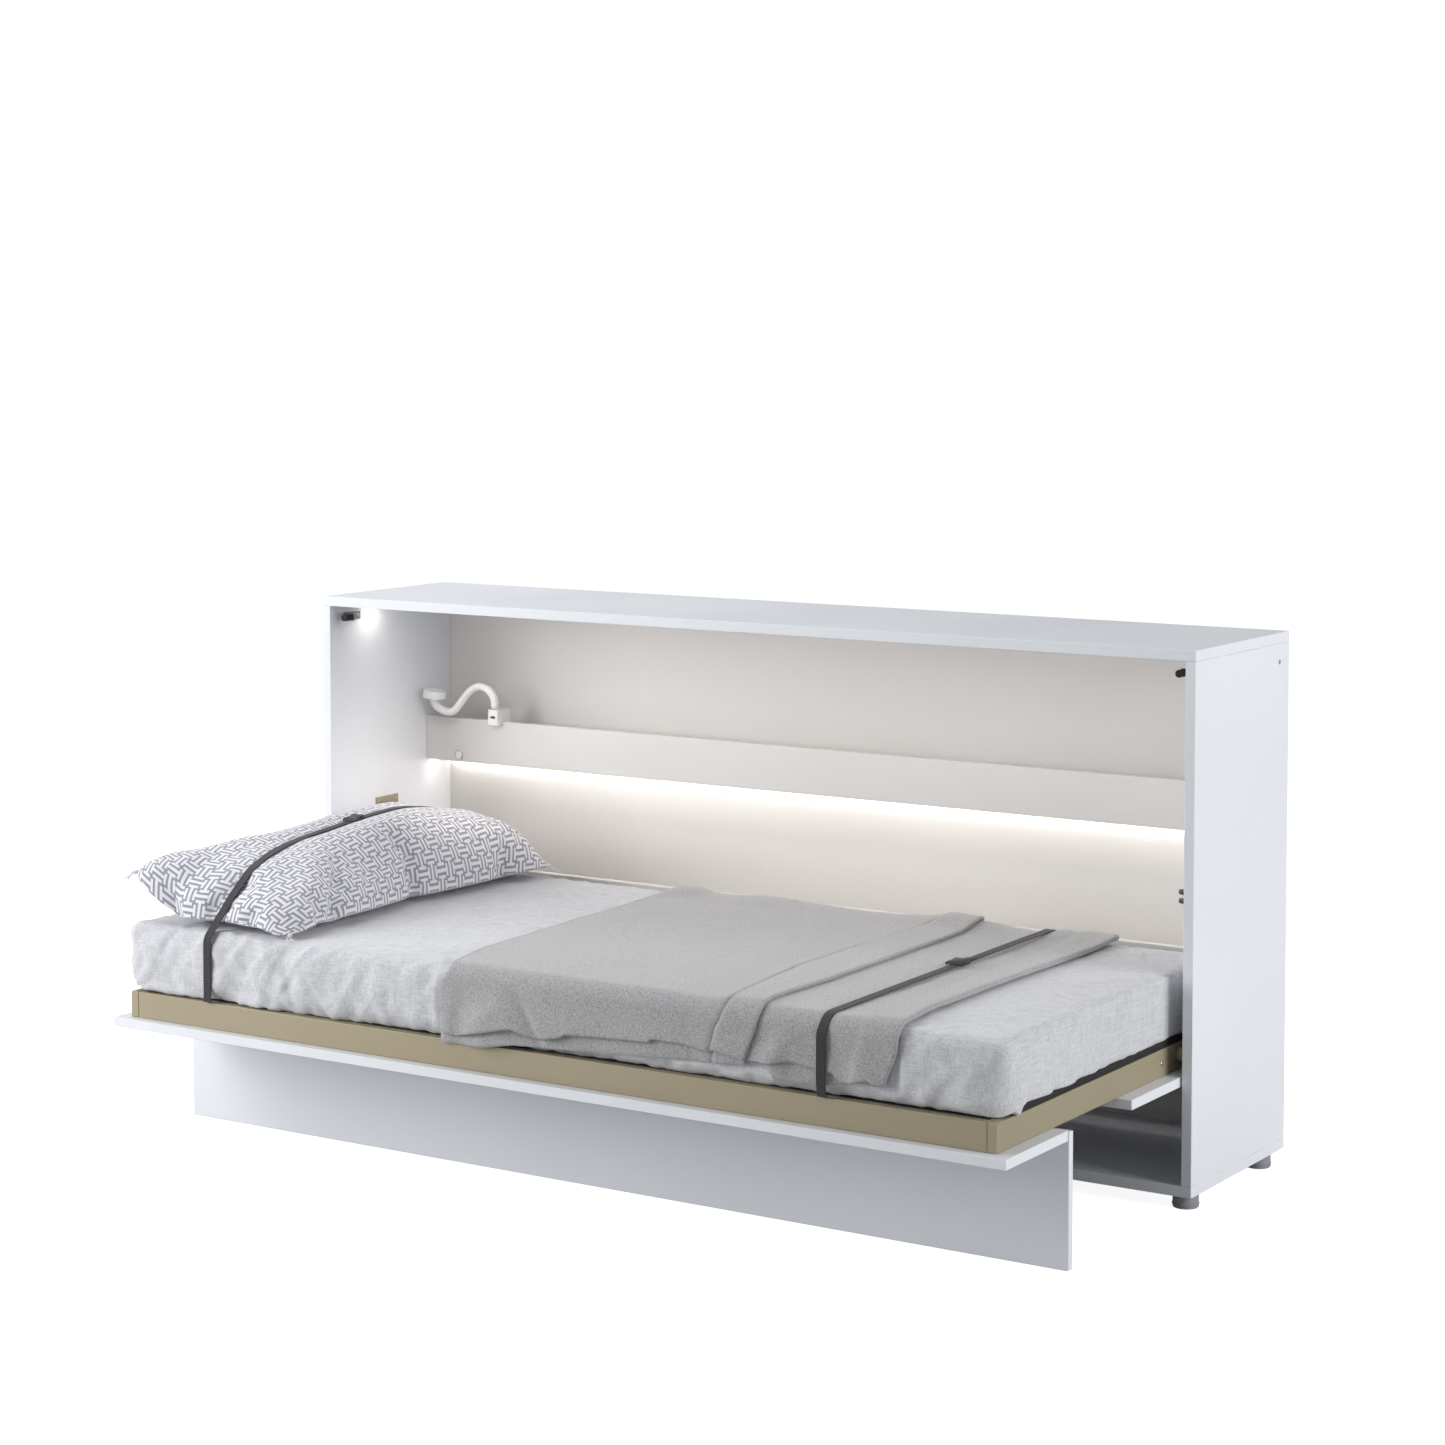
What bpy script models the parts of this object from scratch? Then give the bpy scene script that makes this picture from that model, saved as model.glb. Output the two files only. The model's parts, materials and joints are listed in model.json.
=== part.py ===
"""Horizontal fold-down wall bed: a shallow cabinet and a single bed that swings out of it on a folding leg.

Units are metres, +Z is up, +X runs along the cabinet and +Y runs back to the wall. The origin is on the
floor, under the middle of the whole object's footprint with the bed open.
"""

import math

import bmesh
import bpy
from mathutils import Matrix, Vector

# Cabinet
CABINET_WIDTH = 2.110
CABINET_DEPTH = 0.444
CABINET_HEIGHT = 1.066
BOARD = 0.021
BACK_BOARD = 0.008
BACK_SETBACK = 0.002
FOOT_HEIGHT = 0.025
FOOT_RADIUS = 0.025
FOOT_EDGE_ROUND = 0.0015
FOOT_INSET_X = 0.025
FOOT_INSET_FRONT = 0.031
FOOT_INSET_BACK = 0.071

# Touching pieces keep this much air between them.
GAP = 0.0003
EDGE_ROUND = 0.0008
# A cut that goes right through starts and ends this far outside the piece
CUT_PAST = 0.010

# Shelves: each is a board behind a taller front rail
SHELF_BOARD = 0.018
UPPER_RAIL_FRONT = 0.343
UPPER_RAIL_Z = (0.664, 0.764)
UPPER_SHELF_Z = 0.674
LOWER_RAIL_FRONT = 0.305
LOWER_RAIL_Z = (0.336, 0.436)
LOWER_SHELF_Z = 0.340

# Bed, given open: distances behind the cabinet's front plane, so that the bed in the room is negative
BED_PIVOT = (0.050, 0.2865)
DOOR_THICKNESS = 0.019
DOOR_WIDTH = 2.061
DOOR_Z = 0.2355
FRONT_PANEL_Y = (-0.704, -0.469)
REAR_PANEL_Y = (-0.2095, 0.275)
FRAME_LENGTH = 2.0032
FRAME_Y = (-0.682, 0.238)
FRAME_Z = 0.2548
RAIL_HEIGHT = 0.053
RAIL_THICKNESS = 0.020
TUBE_WALL = 0.002
TUBE_ROUND = 0.0012
CROSS_BAR_HEIGHT = 0.030
LEG_BAR_Y = (-0.475, -0.439)
CENTRE_BAR_Y = (-0.232, -0.192)
SLAT_COUNT = 13
SLAT_WIDTH = 0.065
SLAT_THICKNESS = 0.009
SLAT_TOP = 0.3088
SLAT_MARGIN = 0.006
SLAT_HOLDER_STRIP = 0.022
MATTRESS_SIZE = (2.000, 0.900, 0.1409)
MATTRESS_FRONT = -0.665
MATTRESS_ROUND = 0.028
MATTRESS_ROUND_STEPS = 3

# Folding leg panel
LEG_HINGE = (-0.457, 0.2435)
LEG_THICKNESS = 0.016
LEG_TOP = 0.2505
LEG_HINGE_X = 0.800
LEG_NOTCH_WIDTH = 0.033
LEG_NOTCH_DEPTH = 0.0185
HINGE_BLOCK = (0.030, 0.012)
HINGE_PIN_RADIUS = 0.003
HINGE_PIN_LENGTH = 0.050
HINGE_PIN_PLAY = 0.0004
HINGE_PIN_END_GAP = 0.001

# Gas struts, one in the gap at each end of the bed
STRUT_TOP = (0.195, 0.575)
STRUT_FOOT = (0.200, 0.281)
STRUT_X = 1.017
STRUT_RADIUS = 0.009
STRUT_BORE = 0.0055
STRUT_ROD_RADIUS = 0.004
STRUT_BODY_LENGTH = 0.214
STRUT_PLATE_Y = (0.155, 0.235)
STRUT_PLATE_Z = (0.553, 0.597)
STUD_RADIUS = 0.004
STUD_GAP = 0.0012
STRUT_EYE_RADIUS = 0.0085
STRUT_EYE_HALF = 0.006
STRUT_BARREL_START = 0.0051
STRUT_BORE_START = 0.022
STRUT_ROD_START = 0.036
STRUT_FOOT_RADIUS = 0.00765
STRUT_FOOT_GAP = 0.0010

# Small fittings
PLATE_THICKNESS = 0.0027
PLATE_EDGE = 0.0006
PIVOT_PLATE_HALF = 0.034
PIVOT_PLATE_BELOW = 0.0238
BOSS_RADIUS = 0.013
BOSS_BORE = 0.0076
BOSS_GAP = 0.0045
AXLE_RADIUS = 0.007
AXLE_END_GAP = 0.0008
AXLE_FLANGE = 0.0035
CATCH_Z = 1.018
CATCH_ARM_Y = (0.0455, 0.100)
BUMPER_RADIUS = 0.0075
BUMPER_X = 1.0110
BUMPER_FRONT = 0.0205
CATCH_THICKNESS = 0.006
CATCH_HALF_HEIGHT = 0.009
CATCH_TONGUE = 0.004
BUFFER_Y = 0.0295
BUFFER_Z = (0.575, 0.613)
BUFFER_PLATE = 0.003
BUFFER_HALF_WIDTH = 0.008
BUFFER_REACH = 0.018
BUFFER_CONE_RADII = (0.0075, 0.0045)
BUFFER_CONE_OFFSET = 0.0085
CAP_RADIUS = 0.005
CAP_DEPTH = 0.008
CAP_Y = 0.397
CAP_Z = 1.008
BUTTON_X = -0.939
BUTTON_Z = 0.6795
BUTTON_RADIUS = 0.0090
BUTTON_LENGTH = 0.007
BUTTON_PLAY = 0.0006
BUTTON_PROUD = 0.0016
BUTTON_HOLE_DEPTH = 0.008
PROFILE_SIZE = (0.016, 0.007)
PROFILE_SETBACK = 0.002
PROFILE_WALL = 0.0012
PROFILE_END_GAP = 0.003
DIFFUSER_THICKNESS = 0.003
SPOT_X = 0.998
SPOT_Y = 0.135
SPOT_RADIUS = 0.030
SPOT_HEIGHT = 0.008

# Reading lamp that clips over the upper shelf's rail
CLAMP_X = (-0.843, -0.817)
CLAMP_TOP = 0.792
CLAMP_WALL = 0.0155
CLAMP_BOTTOM = 0.757
USB_SLOT = (0.0125, 0.010, 0.005)
USB_SLOT_INSET = 0.0065
USB_SLOT_Z = 0.7725
NECK_RADIUS = 0.009
NECK_Y = 0.335
NECK_FOOT_LIFT = 0.010
NECK_BALL_ANGLES_DEG = (80, 60, 40, 20)
LAMP_HEAD = (-0.986, 0.312, 0.8205)
LAMP_HEAD_RADIUS = 0.026
LAMP_HEAD_HEIGHT = 0.017
LAMP_TILT_DEG = 8.0
LAMP_RIM = 0.0025
LENS_THICKNESS = 0.004
NECK_ROOM = 0.0025
NECK_ROOM_DEPTH = 0.0045

# Bedding
PILLOW_X = (-1.000, -0.600)
PILLOW_Y = (-0.650, 0.232)
PILLOW_HEIGHT = 0.172
PILLOW_SEAM = 0.010
PILLOW_CREST_SHIFT = -0.10
PILLOW_COLUMNS = 10
PILLOW_ROWS = 16
THROW_X_RIGHT = 0.800
THROW_X_LEFT_FRONT = -0.190
THROW_X_LEFT_REAR = -0.255
THROW_REAR = 0.210
THROW_THICKNESS = 0.0150
THROW_ROUND = 0.025
THROW_ROUND_STEPS = 5
THROW_HEM_Z = 0.315
STRAP_WIDTH = 0.025
STRAP_THICKNESS = 0.002
STRAP_AIR = 0.0012
STRAP_END_LIFT = 0.003
STRAP_SHOULDER = 0.012
STRAP_BEND = 0.004
PILLOW_STRAP_AIR = 0.002
BUCKLE_SIZE = (0.046, 0.035, 0.006)
BUCKLE_SLOT = 0.015
BUCKLE_AIR = 0.0006
BUCKLE_Y = -0.205
PILLOW_STRAP_X = -0.803
THROW_STRAP_X = 0.640

# Derived measures
FRONT = (-FRONT_PANEL_Y[0] - CABINET_DEPTH) / 2
HALF_WIDTH = CABINET_WIDTH / 2
INNER_X = HALF_WIDTH - BOARD
BOTTOM_TOP = FOOT_HEIGHT + BOARD
TOP_UNDER = CABINET_HEIGHT - BOARD
BACK_FRONT = CABINET_DEPTH - BACK_SETBACK - BACK_BOARD
MATTRESS_BOTTOM = SLAT_TOP + GAP
MATTRESS_TOP = MATTRESS_BOTTOM + MATTRESS_SIZE[2]
MATTRESS_REAR = MATTRESS_FRONT + MATTRESS_SIZE[1]
THROW_FRONT = MATTRESS_FRONT - GAP - THROW_THICKNESS
THROW_TOP = MATTRESS_TOP + GAP + THROW_THICKNESS
FRAME_TOP = FRAME_Z + RAIL_HEIGHT
SIDES = (("left", -1), ("right", 1))

WHITE_LAMINATE = ("white_laminate", (0.86, 0.87, 0.88), 0.38, 0.0)
GREY_INTERIOR = ("grey_interior", (0.72, 0.70, 0.68), 0.55, 0.0)
TAUPE_STEEL = ("taupe_steel", (0.41, 0.36, 0.26), 0.42, 0.35)
DARK_STEEL = ("dark_steel", (0.10, 0.10, 0.11), 0.35, 0.8)
BRIGHT_STEEL = ("bright_steel", (0.60, 0.60, 0.61), 0.25, 1.0)
GREY_PLASTIC = ("grey_plastic", (0.28, 0.28, 0.29), 0.5, 0.0)
WHITE_PLASTIC = ("white_plastic", (0.87, 0.87, 0.87), 0.3, 0.0)
BLACK_RUBBER = ("black_rubber", (0.02, 0.02, 0.02), 0.7, 0.0)
ALUMINIUM = ("aluminium", (0.75, 0.75, 0.76), 0.35, 1.0)
DIFFUSER = ("diffuser", (0.95, 0.92, 0.86), 0.5, 0.0)
BIRCH = ("birch", (0.62, 0.48, 0.32), 0.55, 0.0)
SHEET_LINEN = ("sheet_linen", (0.66, 0.67, 0.70), 0.9, 0.0)
PILLOW_COTTON = ("pillow_cotton", (0.64, 0.63, 0.68), 0.9, 0.0)
THROW_WOOL = ("throw_wool", (0.50, 0.49, 0.47), 0.95, 0.0)
WEBBING = ("charcoal_webbing", (0.06, 0.06, 0.065), 0.8, 0.0)

materials = {}


def material(spec):
    """The Principled material that a (name, colour, roughness, metallic) tuple describes."""
    name, colour, roughness, metallic = spec
    if name not in materials:
        made = bpy.data.materials.new(name)
        made.use_nodes = True
        shader = made.node_tree.nodes["Principled BSDF"]
        shader.inputs["Base Color"].default_value = (*colour, 1.0)
        shader.inputs["Roughness"].default_value = roughness
        shader.inputs["Metallic"].default_value = metallic
        made.diffuse_color = (*colour, 1.0)
        materials[name] = made
    return materials[name]


def place(name, mesh, spec, origin=(0.0, 0.0, 0.0), smooth=False):
    """A named object around a mesh in world coordinates, with its origin where asked."""
    bmesh.ops.recalc_face_normals(mesh, faces=mesh.faces)
    bmesh.ops.translate(mesh, verts=mesh.verts, vec=-Vector(origin))
    data = bpy.data.meshes.new(name)
    mesh.to_mesh(data)
    mesh.free()
    data.materials.append(material(spec))
    if smooth:
        data.shade_smooth()
        data.set_sharp_from_angle(angle=math.radians(35))
    obj = bpy.data.objects.new(name, data)
    obj.location = origin
    bpy.context.scene.collection.objects.link(obj)
    return obj


def add_box(mesh, x, y, z):
    """Adds a box between two x, two y and two z values."""
    size = Vector((x[1] - x[0], y[1] - y[0], z[1] - z[0]))
    middle = Vector((x[0] + x[1], y[0] + y[1], z[0] + z[1])) / 2
    bmesh.ops.create_cube(mesh, size=1.0, matrix=Matrix.Translation(middle) @ Matrix.Diagonal((*size, 1.0)))


def add_cylinder(mesh, start, end, radius, sides=24, end_radius=None):
    """Adds a capped cylinder or cone from one point to another."""
    start = Vector(start)
    along = Vector(end) - start
    turn = along.to_track_quat("Z", "X").to_matrix().to_4x4()
    bmesh.ops.create_cone(
        mesh,
        cap_ends=True,
        segments=sides,
        radius1=radius,
        radius2=radius if end_radius is None else end_radius,
        depth=along.length,
        matrix=Matrix.Translation(start + along / 2) @ turn,
    )


def box(name, x, y, z, spec, origin=(0.0, 0.0, 0.0), edge=EDGE_ROUND, segments=1):
    """A board or block with slightly rounded edges."""
    mesh = bmesh.new()
    add_box(mesh, x, y, z)
    obj = place(name, mesh, spec, origin)
    if edge:
        bevel = obj.modifiers.new("edge", "BEVEL")
        bevel.width = edge
        bevel.segments = segments
    return obj


def cylinder(name, start, end, radius, spec, origin=(0.0, 0.0, 0.0), sides=24):
    """A round piece from one point to another."""
    mesh = bmesh.new()
    add_cylinder(mesh, start, end, radius, sides)
    return place(name, mesh, spec, origin, smooth=True)


def cutter(name, build, origin=(0.0, 0.0, 0.0)):
    """A hidden helper whose shape the build function adds to an empty mesh."""
    mesh = bmesh.new()
    build(mesh)
    obj = place(name, mesh, DARK_STEEL, origin)
    obj.hide_render = True
    obj.display_type = "WIRE"
    return obj


def boolean(obj, other, operation="DIFFERENCE"):
    """Cuts, or joins, one object with another; the helper stays hidden."""
    step = obj.modifiers.new(operation.lower(), "BOOLEAN")
    step.operation = operation
    step.solver = "EXACT"
    step.object = other


def behind(y):
    """World y of a distance behind the cabinet's front plane."""
    return FRONT + y


def span(limits):
    """World y of a pair of distances behind the cabinet's front plane."""
    return (behind(limits[0]), behind(limits[1]))


def mirrored(side, near, far):
    """An x span given for the right-hand side, mirrored for the left."""
    return (near, far) if side > 0 else (-far, -near)


def build_carcass():
    full_x = (-HALF_WIDTH, HALF_WIDTH)
    full_y = span((0.0, CABINET_DEPTH))
    box("cabinet_top", full_x, full_y, (TOP_UNDER, CABINET_HEIGHT), WHITE_LAMINATE)
    box("cabinet_bottom", full_x, full_y, (FOOT_HEIGHT, BOTTOM_TOP), WHITE_LAMINATE)
    side_z = (BOTTOM_TOP + GAP, TOP_UNDER - GAP)
    for label, side in SIDES:
        side_x = mirrored(side, INNER_X, HALF_WIDTH)
        panel = box("cabinet_side_" + label, side_x, full_y, side_z, WHITE_LAMINATE)
        recess = cutter(
            "cap_recess_" + label,
            lambda mesh, side=side: add_cylinder(
                mesh,
                (side * (HALF_WIDTH - CAP_DEPTH), behind(CAP_Y), CAP_Z),
                (side * (HALF_WIDTH + CAP_DEPTH), behind(CAP_Y), CAP_Z),
                CAP_RADIUS + GAP,
            ),
        )
        boolean(panel, recess)
        cylinder(
            "side_cap_" + label,
            (side * (HALF_WIDTH - CAP_DEPTH + GAP), behind(CAP_Y), CAP_Z),
            (side * HALF_WIDTH, behind(CAP_Y), CAP_Z),
            CAP_RADIUS,
            GREY_PLASTIC,
        )
    back_y = span((BACK_FRONT, BACK_FRONT + BACK_BOARD))
    box("cabinet_back", (-INNER_X + GAP, INNER_X - GAP), back_y, side_z, GREY_INTERIOR, edge=0.0)


def build_feet():
    for label, side in SIDES:
        x = side * (HALF_WIDTH - FOOT_INSET_X)
        for place_name, y in (("front", FOOT_INSET_FRONT), ("back", CABINET_DEPTH - FOOT_INSET_BACK)):
            mesh = bmesh.new()
            foot = (x, behind(y))
            add_cylinder(mesh, (*foot, 0.0), (*foot, FOOT_HEIGHT - GAP), FOOT_RADIUS, sides=32)
            obj = place("foot_" + place_name + "_" + label, mesh, GREY_PLASTIC, smooth=True)
            bevel = obj.modifiers.new("edge", "BEVEL")
            bevel.width = FOOT_EDGE_ROUND
            bevel.limit_method = "ANGLE"


def build_shelf(level, rail_front, rail_z, board_z):
    """A front rail with a board behind it, both between the cabinet's sides."""
    x = (-INNER_X + GAP, INNER_X - GAP)
    rail_y = (rail_front, rail_front + SHELF_BOARD)
    rail = box(level + "_shelf_rail", x, span(rail_y), rail_z, GREY_INTERIOR)
    board_y = (rail_y[1] + GAP, BACK_FRONT - GAP)
    box(level + "_shelf_board", x, span(board_y), (board_z, board_z + SHELF_BOARD), GREY_INTERIOR)
    return rail


def build_shelves_and_button():
    build_shelf("lower", LOWER_RAIL_FRONT, LOWER_RAIL_Z, LOWER_SHELF_Z)
    rail = build_shelf("upper", UPPER_RAIL_FRONT, UPPER_RAIL_Z, UPPER_SHELF_Z)
    hole = cutter(
        "button_hole",
        lambda mesh: add_cylinder(
            mesh,
            (BUTTON_X, behind(UPPER_RAIL_FRONT - BUTTON_HOLE_DEPTH), BUTTON_Z),
            (BUTTON_X, behind(UPPER_RAIL_FRONT + BUTTON_HOLE_DEPTH), BUTTON_Z),
            BUTTON_RADIUS + BUTTON_PLAY,
            sides=32,
        ),
    )
    boolean(rail, hole)
    cylinder(
        "touch_button",
        (BUTTON_X, behind(UPPER_RAIL_FRONT - BUTTON_PROUD), BUTTON_Z),
        (BUTTON_X, behind(UPPER_RAIL_FRONT - BUTTON_PROUD + BUTTON_LENGTH), BUTTON_Z),
        BUTTON_RADIUS,
        WHITE_PLASTIC,
        origin=(BUTTON_X, behind(UPPER_RAIL_FRONT), BUTTON_Z),
        sides=32,
    )


def build_lighting():
    front = UPPER_RAIL_FRONT + SHELF_BOARD + PROFILE_SETBACK
    profile_y = (front, front + PROFILE_SIZE[0])
    profile_z = (UPPER_SHELF_Z - GAP - PROFILE_SIZE[1], UPPER_SHELF_Z - GAP)
    wall = PROFILE_WALL
    end = INNER_X - PROFILE_END_GAP
    channel = box("led_profile", (-end, end), span(profile_y), profile_z, ALUMINIUM, edge=0.0)
    groove = cutter(
        "led_groove",
        lambda mesh: add_box(
            mesh,
            (-HALF_WIDTH, HALF_WIDTH),
            span((profile_y[0] + wall, profile_y[1] - wall)),
            (profile_z[0] - wall, profile_z[1] - wall),
        ),
    )
    boolean(channel, groove)
    diffuser_y = (profile_y[0] + wall + GAP, profile_y[1] - wall - GAP)
    diffuser_z = (profile_z[0], profile_z[0] + DIFFUSER_THICKNESS)
    box("led_diffuser", (-end, end), span(diffuser_y), diffuser_z, DIFFUSER, edge=0.0)
    for label, side in SIDES:
        centre = (side * SPOT_X, behind(SPOT_Y))
        cylinder(
            "led_spot_" + label,
            (*centre, TOP_UNDER - GAP - SPOT_HEIGHT),
            (*centre, TOP_UNDER - GAP),
            SPOT_RADIUS,
            WHITE_PLASTIC,
            sides=32,
        )


def neck_route():
    """The gooseneck's centreline: up from its ball foot, over a crest, through a dip, up to the head."""
    x = (CLAMP_X[0] + CLAMP_X[1]) / 2
    y = behind(NECK_Y)
    bends = [
        (0.0, 0.0, NECK_FOOT_LIFT),
        (0.0, 0.0, 0.017),
        (-0.004, 0.0, 0.030),
        (-0.020, 0.0, 0.045),
        (-0.045, -0.001, 0.050),
        (-0.070, -0.003, 0.037),
        (-0.090, -0.006, 0.013),
        (-0.108, -0.010, -0.008),
        (-0.128, -0.015, -0.011),
        (-0.147, -0.020, -0.002),
        (-0.156, -0.023, 0.010),
        (-0.156, -0.023, 0.0205),
    ]
    return [Vector((x + along, y + across, CLAMP_TOP + up)) for along, across, up in bends]


def smooth_line(route, steps_per_leg):
    """Points on a smooth curve through a route's own points."""
    points = []
    for index in range(len(route) - 1):
        before = route[max(index - 1, 0)]
        start = route[index]
        end = route[index + 1]
        after = route[min(index + 2, len(route) - 1)]
        for step in range(steps_per_leg):
            t = step / steps_per_leg
            linear = (end - before) * t
            square = (2 * before - 5 * start + 4 * end - after) * t**2
            cubic = (3 * start - before - 3 * end + after) * t**3
            points.append((2 * start + linear + square + cubic) / 2)
    points.append(route[-1])
    return points


def build_neck(origin):
    """A flexible neck, as a smooth tube along its route, with a half-ball foot round its pivot."""
    curve = bpy.data.curves.new("lamp_neck", "CURVE")
    curve.dimensions = "3D"
    curve.bevel_depth = NECK_RADIUS
    curve.bevel_resolution = 3
    curve.use_fill_caps = True
    route = neck_route()
    line = []
    for angle in NECK_BALL_ANGLES_DEG:
        drop = NECK_RADIUS * math.sin(math.radians(angle))
        line.append((route[0] - Vector((0.0, 0.0, drop)), math.cos(math.radians(angle))))
    line += [(point, 1.0) for point in smooth_line(route, 3)]
    spline = curve.splines.new("POLY")
    spline.points.add(len(line) - 1)
    for target, (point, share) in zip(spline.points, line):
        target.co = (*(point - Vector(origin)), 1.0)
        target.radius = share
    curve.materials.append(material(WHITE_PLASTIC))
    obj = bpy.data.objects.new("lamp_neck", curve)
    obj.location = origin
    bpy.context.scene.collection.objects.link(obj)


def build_clamp():
    """A block that clips down over the shelf rail, with a socket in its front."""
    grip_y = (UPPER_RAIL_FRONT - GAP, UPPER_RAIL_FRONT + SHELF_BOARD + GAP)
    jaw_y = (grip_y[0] - CLAMP_WALL, grip_y[1] + CLAMP_WALL)
    clamp = box("lamp_clamp", CLAMP_X, span(jaw_y), (CLAMP_BOTTOM, CLAMP_TOP), WHITE_PLASTIC, edge=0.0)
    slot_x = (CLAMP_X[0] + USB_SLOT_INSET, CLAMP_X[0] + USB_SLOT_INSET + USB_SLOT[0])
    slot_z = (USB_SLOT_Z, USB_SLOT_Z + USB_SLOT[2])

    def grip_and_socket(mesh):
        past_x = (CLAMP_X[0] - CUT_PAST, CLAMP_X[1] + CUT_PAST)
        add_box(mesh, past_x, span(grip_y), (CLAMP_BOTTOM - CUT_PAST, UPPER_RAIL_Z[1] + GAP))
        add_box(mesh, slot_x, span((jaw_y[0] - CUT_PAST, jaw_y[0] + USB_SLOT[1])), slot_z)

    boolean(clamp, cutter("clamp_cutter", grip_and_socket))


def build_lamp():
    """The clip-on reading lamp: clamp, gooseneck and a tilted round head with its lens."""
    build_clamp()
    neck_start = neck_route()[0]
    build_neck(tuple(neck_start))

    head = Vector((LAMP_HEAD[0], behind(LAMP_HEAD[1]), LAMP_HEAD[2]))
    tilt = Matrix.Rotation(math.radians(LAMP_TILT_DEG), 3, "Y")
    up = tilt @ Vector((0.0, 0.0, 1.0))
    half = LAMP_HEAD_HEIGHT / 2
    hinge = neck_route()[-1]
    origin = tuple(hinge)
    radius = LAMP_HEAD_RADIUS
    shell = cylinder("lamp_head", head - up * half, head + up * half, radius, WHITE_PLASTIC, origin, sides=32)
    lens_radius = LAMP_HEAD_RADIUS - LAMP_RIM
    low = head - up * (half + LENS_THICKNESS)
    high = head - up * (half - LENS_THICKNESS)
    lens_recess = cutter(
        "lens_recess", lambda mesh: add_cylinder(mesh, low, high, lens_radius + GAP, sides=32), origin
    )
    boolean(shell, lens_recess)
    room_bottom = hinge - Vector((0.0, 0.0, 2 * CUT_PAST))
    room_top = hinge + Vector((0.0, 0.0, NECK_ROOM_DEPTH))
    neck_room = cutter(
        "neck_room",
        lambda mesh: add_cylinder(mesh, room_bottom, room_top, NECK_RADIUS + NECK_ROOM, sides=24),
        origin,
    )
    boolean(shell, neck_room)
    lens_top = head - up * (half - LENS_THICKNESS + GAP)
    lens = cylinder("lamp_lens", head - up * half, lens_top, lens_radius, DIFFUSER, origin, sides=32)
    boolean(lens, neck_room)


def build_strut_plates():
    plate_x = INNER_X - GAP - PLATE_THICKNESS
    for label, side in SIDES:
        plate = box(
            "strut_plate_" + label,
            mirrored(side, plate_x, INNER_X - GAP),
            span(STRUT_PLATE_Y),
            STRUT_PLATE_Z,
            TAUPE_STEEL,
            edge=PLATE_EDGE,
        )
        y, z = behind(STRUT_TOP[0]), STRUT_TOP[1]
        overlap = PLATE_THICKNESS / 2
        stud = cutter(
            "strut_stud_" + label,
            lambda mesh, side=side, y=y, z=z: add_cylinder(
                mesh,
                (side * (STRUT_X - STRUT_RADIUS - STUD_GAP), y, z),
                (side * (plate_x + overlap), y, z),
                STUD_RADIUS,
                sides=16,
            ),
        )
        boolean(plate, stud, "UNION")


def strut_direction():
    along = Vector((0.0, STRUT_FOOT[0] - STRUT_TOP[0], STRUT_FOOT[1] - STRUT_TOP[1]))
    return along.normalized(), along.length


def build_struts():
    """A gas spring at each end: a bored cylinder on the upper stud, and a rod down to the frame."""
    along, length = strut_direction()
    for label, side in SIDES:
        top = Vector((side * STRUT_X, behind(STRUT_TOP[0]), STRUT_TOP[1]))
        across = Vector((side * STRUT_EYE_HALF, 0.0, 0.0))
        eye = cylinder(
            "strut_cylinder_" + label,
            top - across,
            top + across,
            STRUT_EYE_RADIUS,
            DARK_STEEL,
            tuple(top),
            sides=24,
        )
        barrel = cutter(
            "strut_barrel_" + label,
            lambda mesh, top=top: add_cylinder(
                mesh,
                top + along * STRUT_BARREL_START,
                top + along * STRUT_BODY_LENGTH,
                STRUT_RADIUS,
            ),
            tuple(top),
        )
        boolean(eye, barrel, "UNION")

        def bores(mesh, top=top, across=across):
            add_cylinder(mesh, top - across * 2, top + across * 2, STUD_RADIUS + GAP, sides=16)
            add_cylinder(mesh, top + along * STRUT_BORE_START, top + along * length, STRUT_BORE)

        drill = cutter("strut_bores_" + label, bores, tuple(top))
        boolean(eye, drill)

        foot = top + along * length
        rod = cylinder(
            "strut_rod_" + label,
            top + along * STRUT_ROD_START,
            foot,
            STRUT_ROD_RADIUS,
            BRIGHT_STEEL,
            tuple(foot),
            sides=16,
        )
        foot_pin = cutter(
            "strut_foot_" + label,
            lambda mesh, foot=foot, side=side: add_cylinder(
                mesh,
                (side * (FRAME_LENGTH / 2 + STRUT_FOOT_GAP), foot.y, foot.z),
                (side * (STRUT_X + STRUT_EYE_HALF), foot.y, foot.z),
                STRUT_FOOT_RADIUS,
                sides=20,
            ),
            tuple(foot),
        )
        boolean(rod, foot_pin, "UNION")


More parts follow.
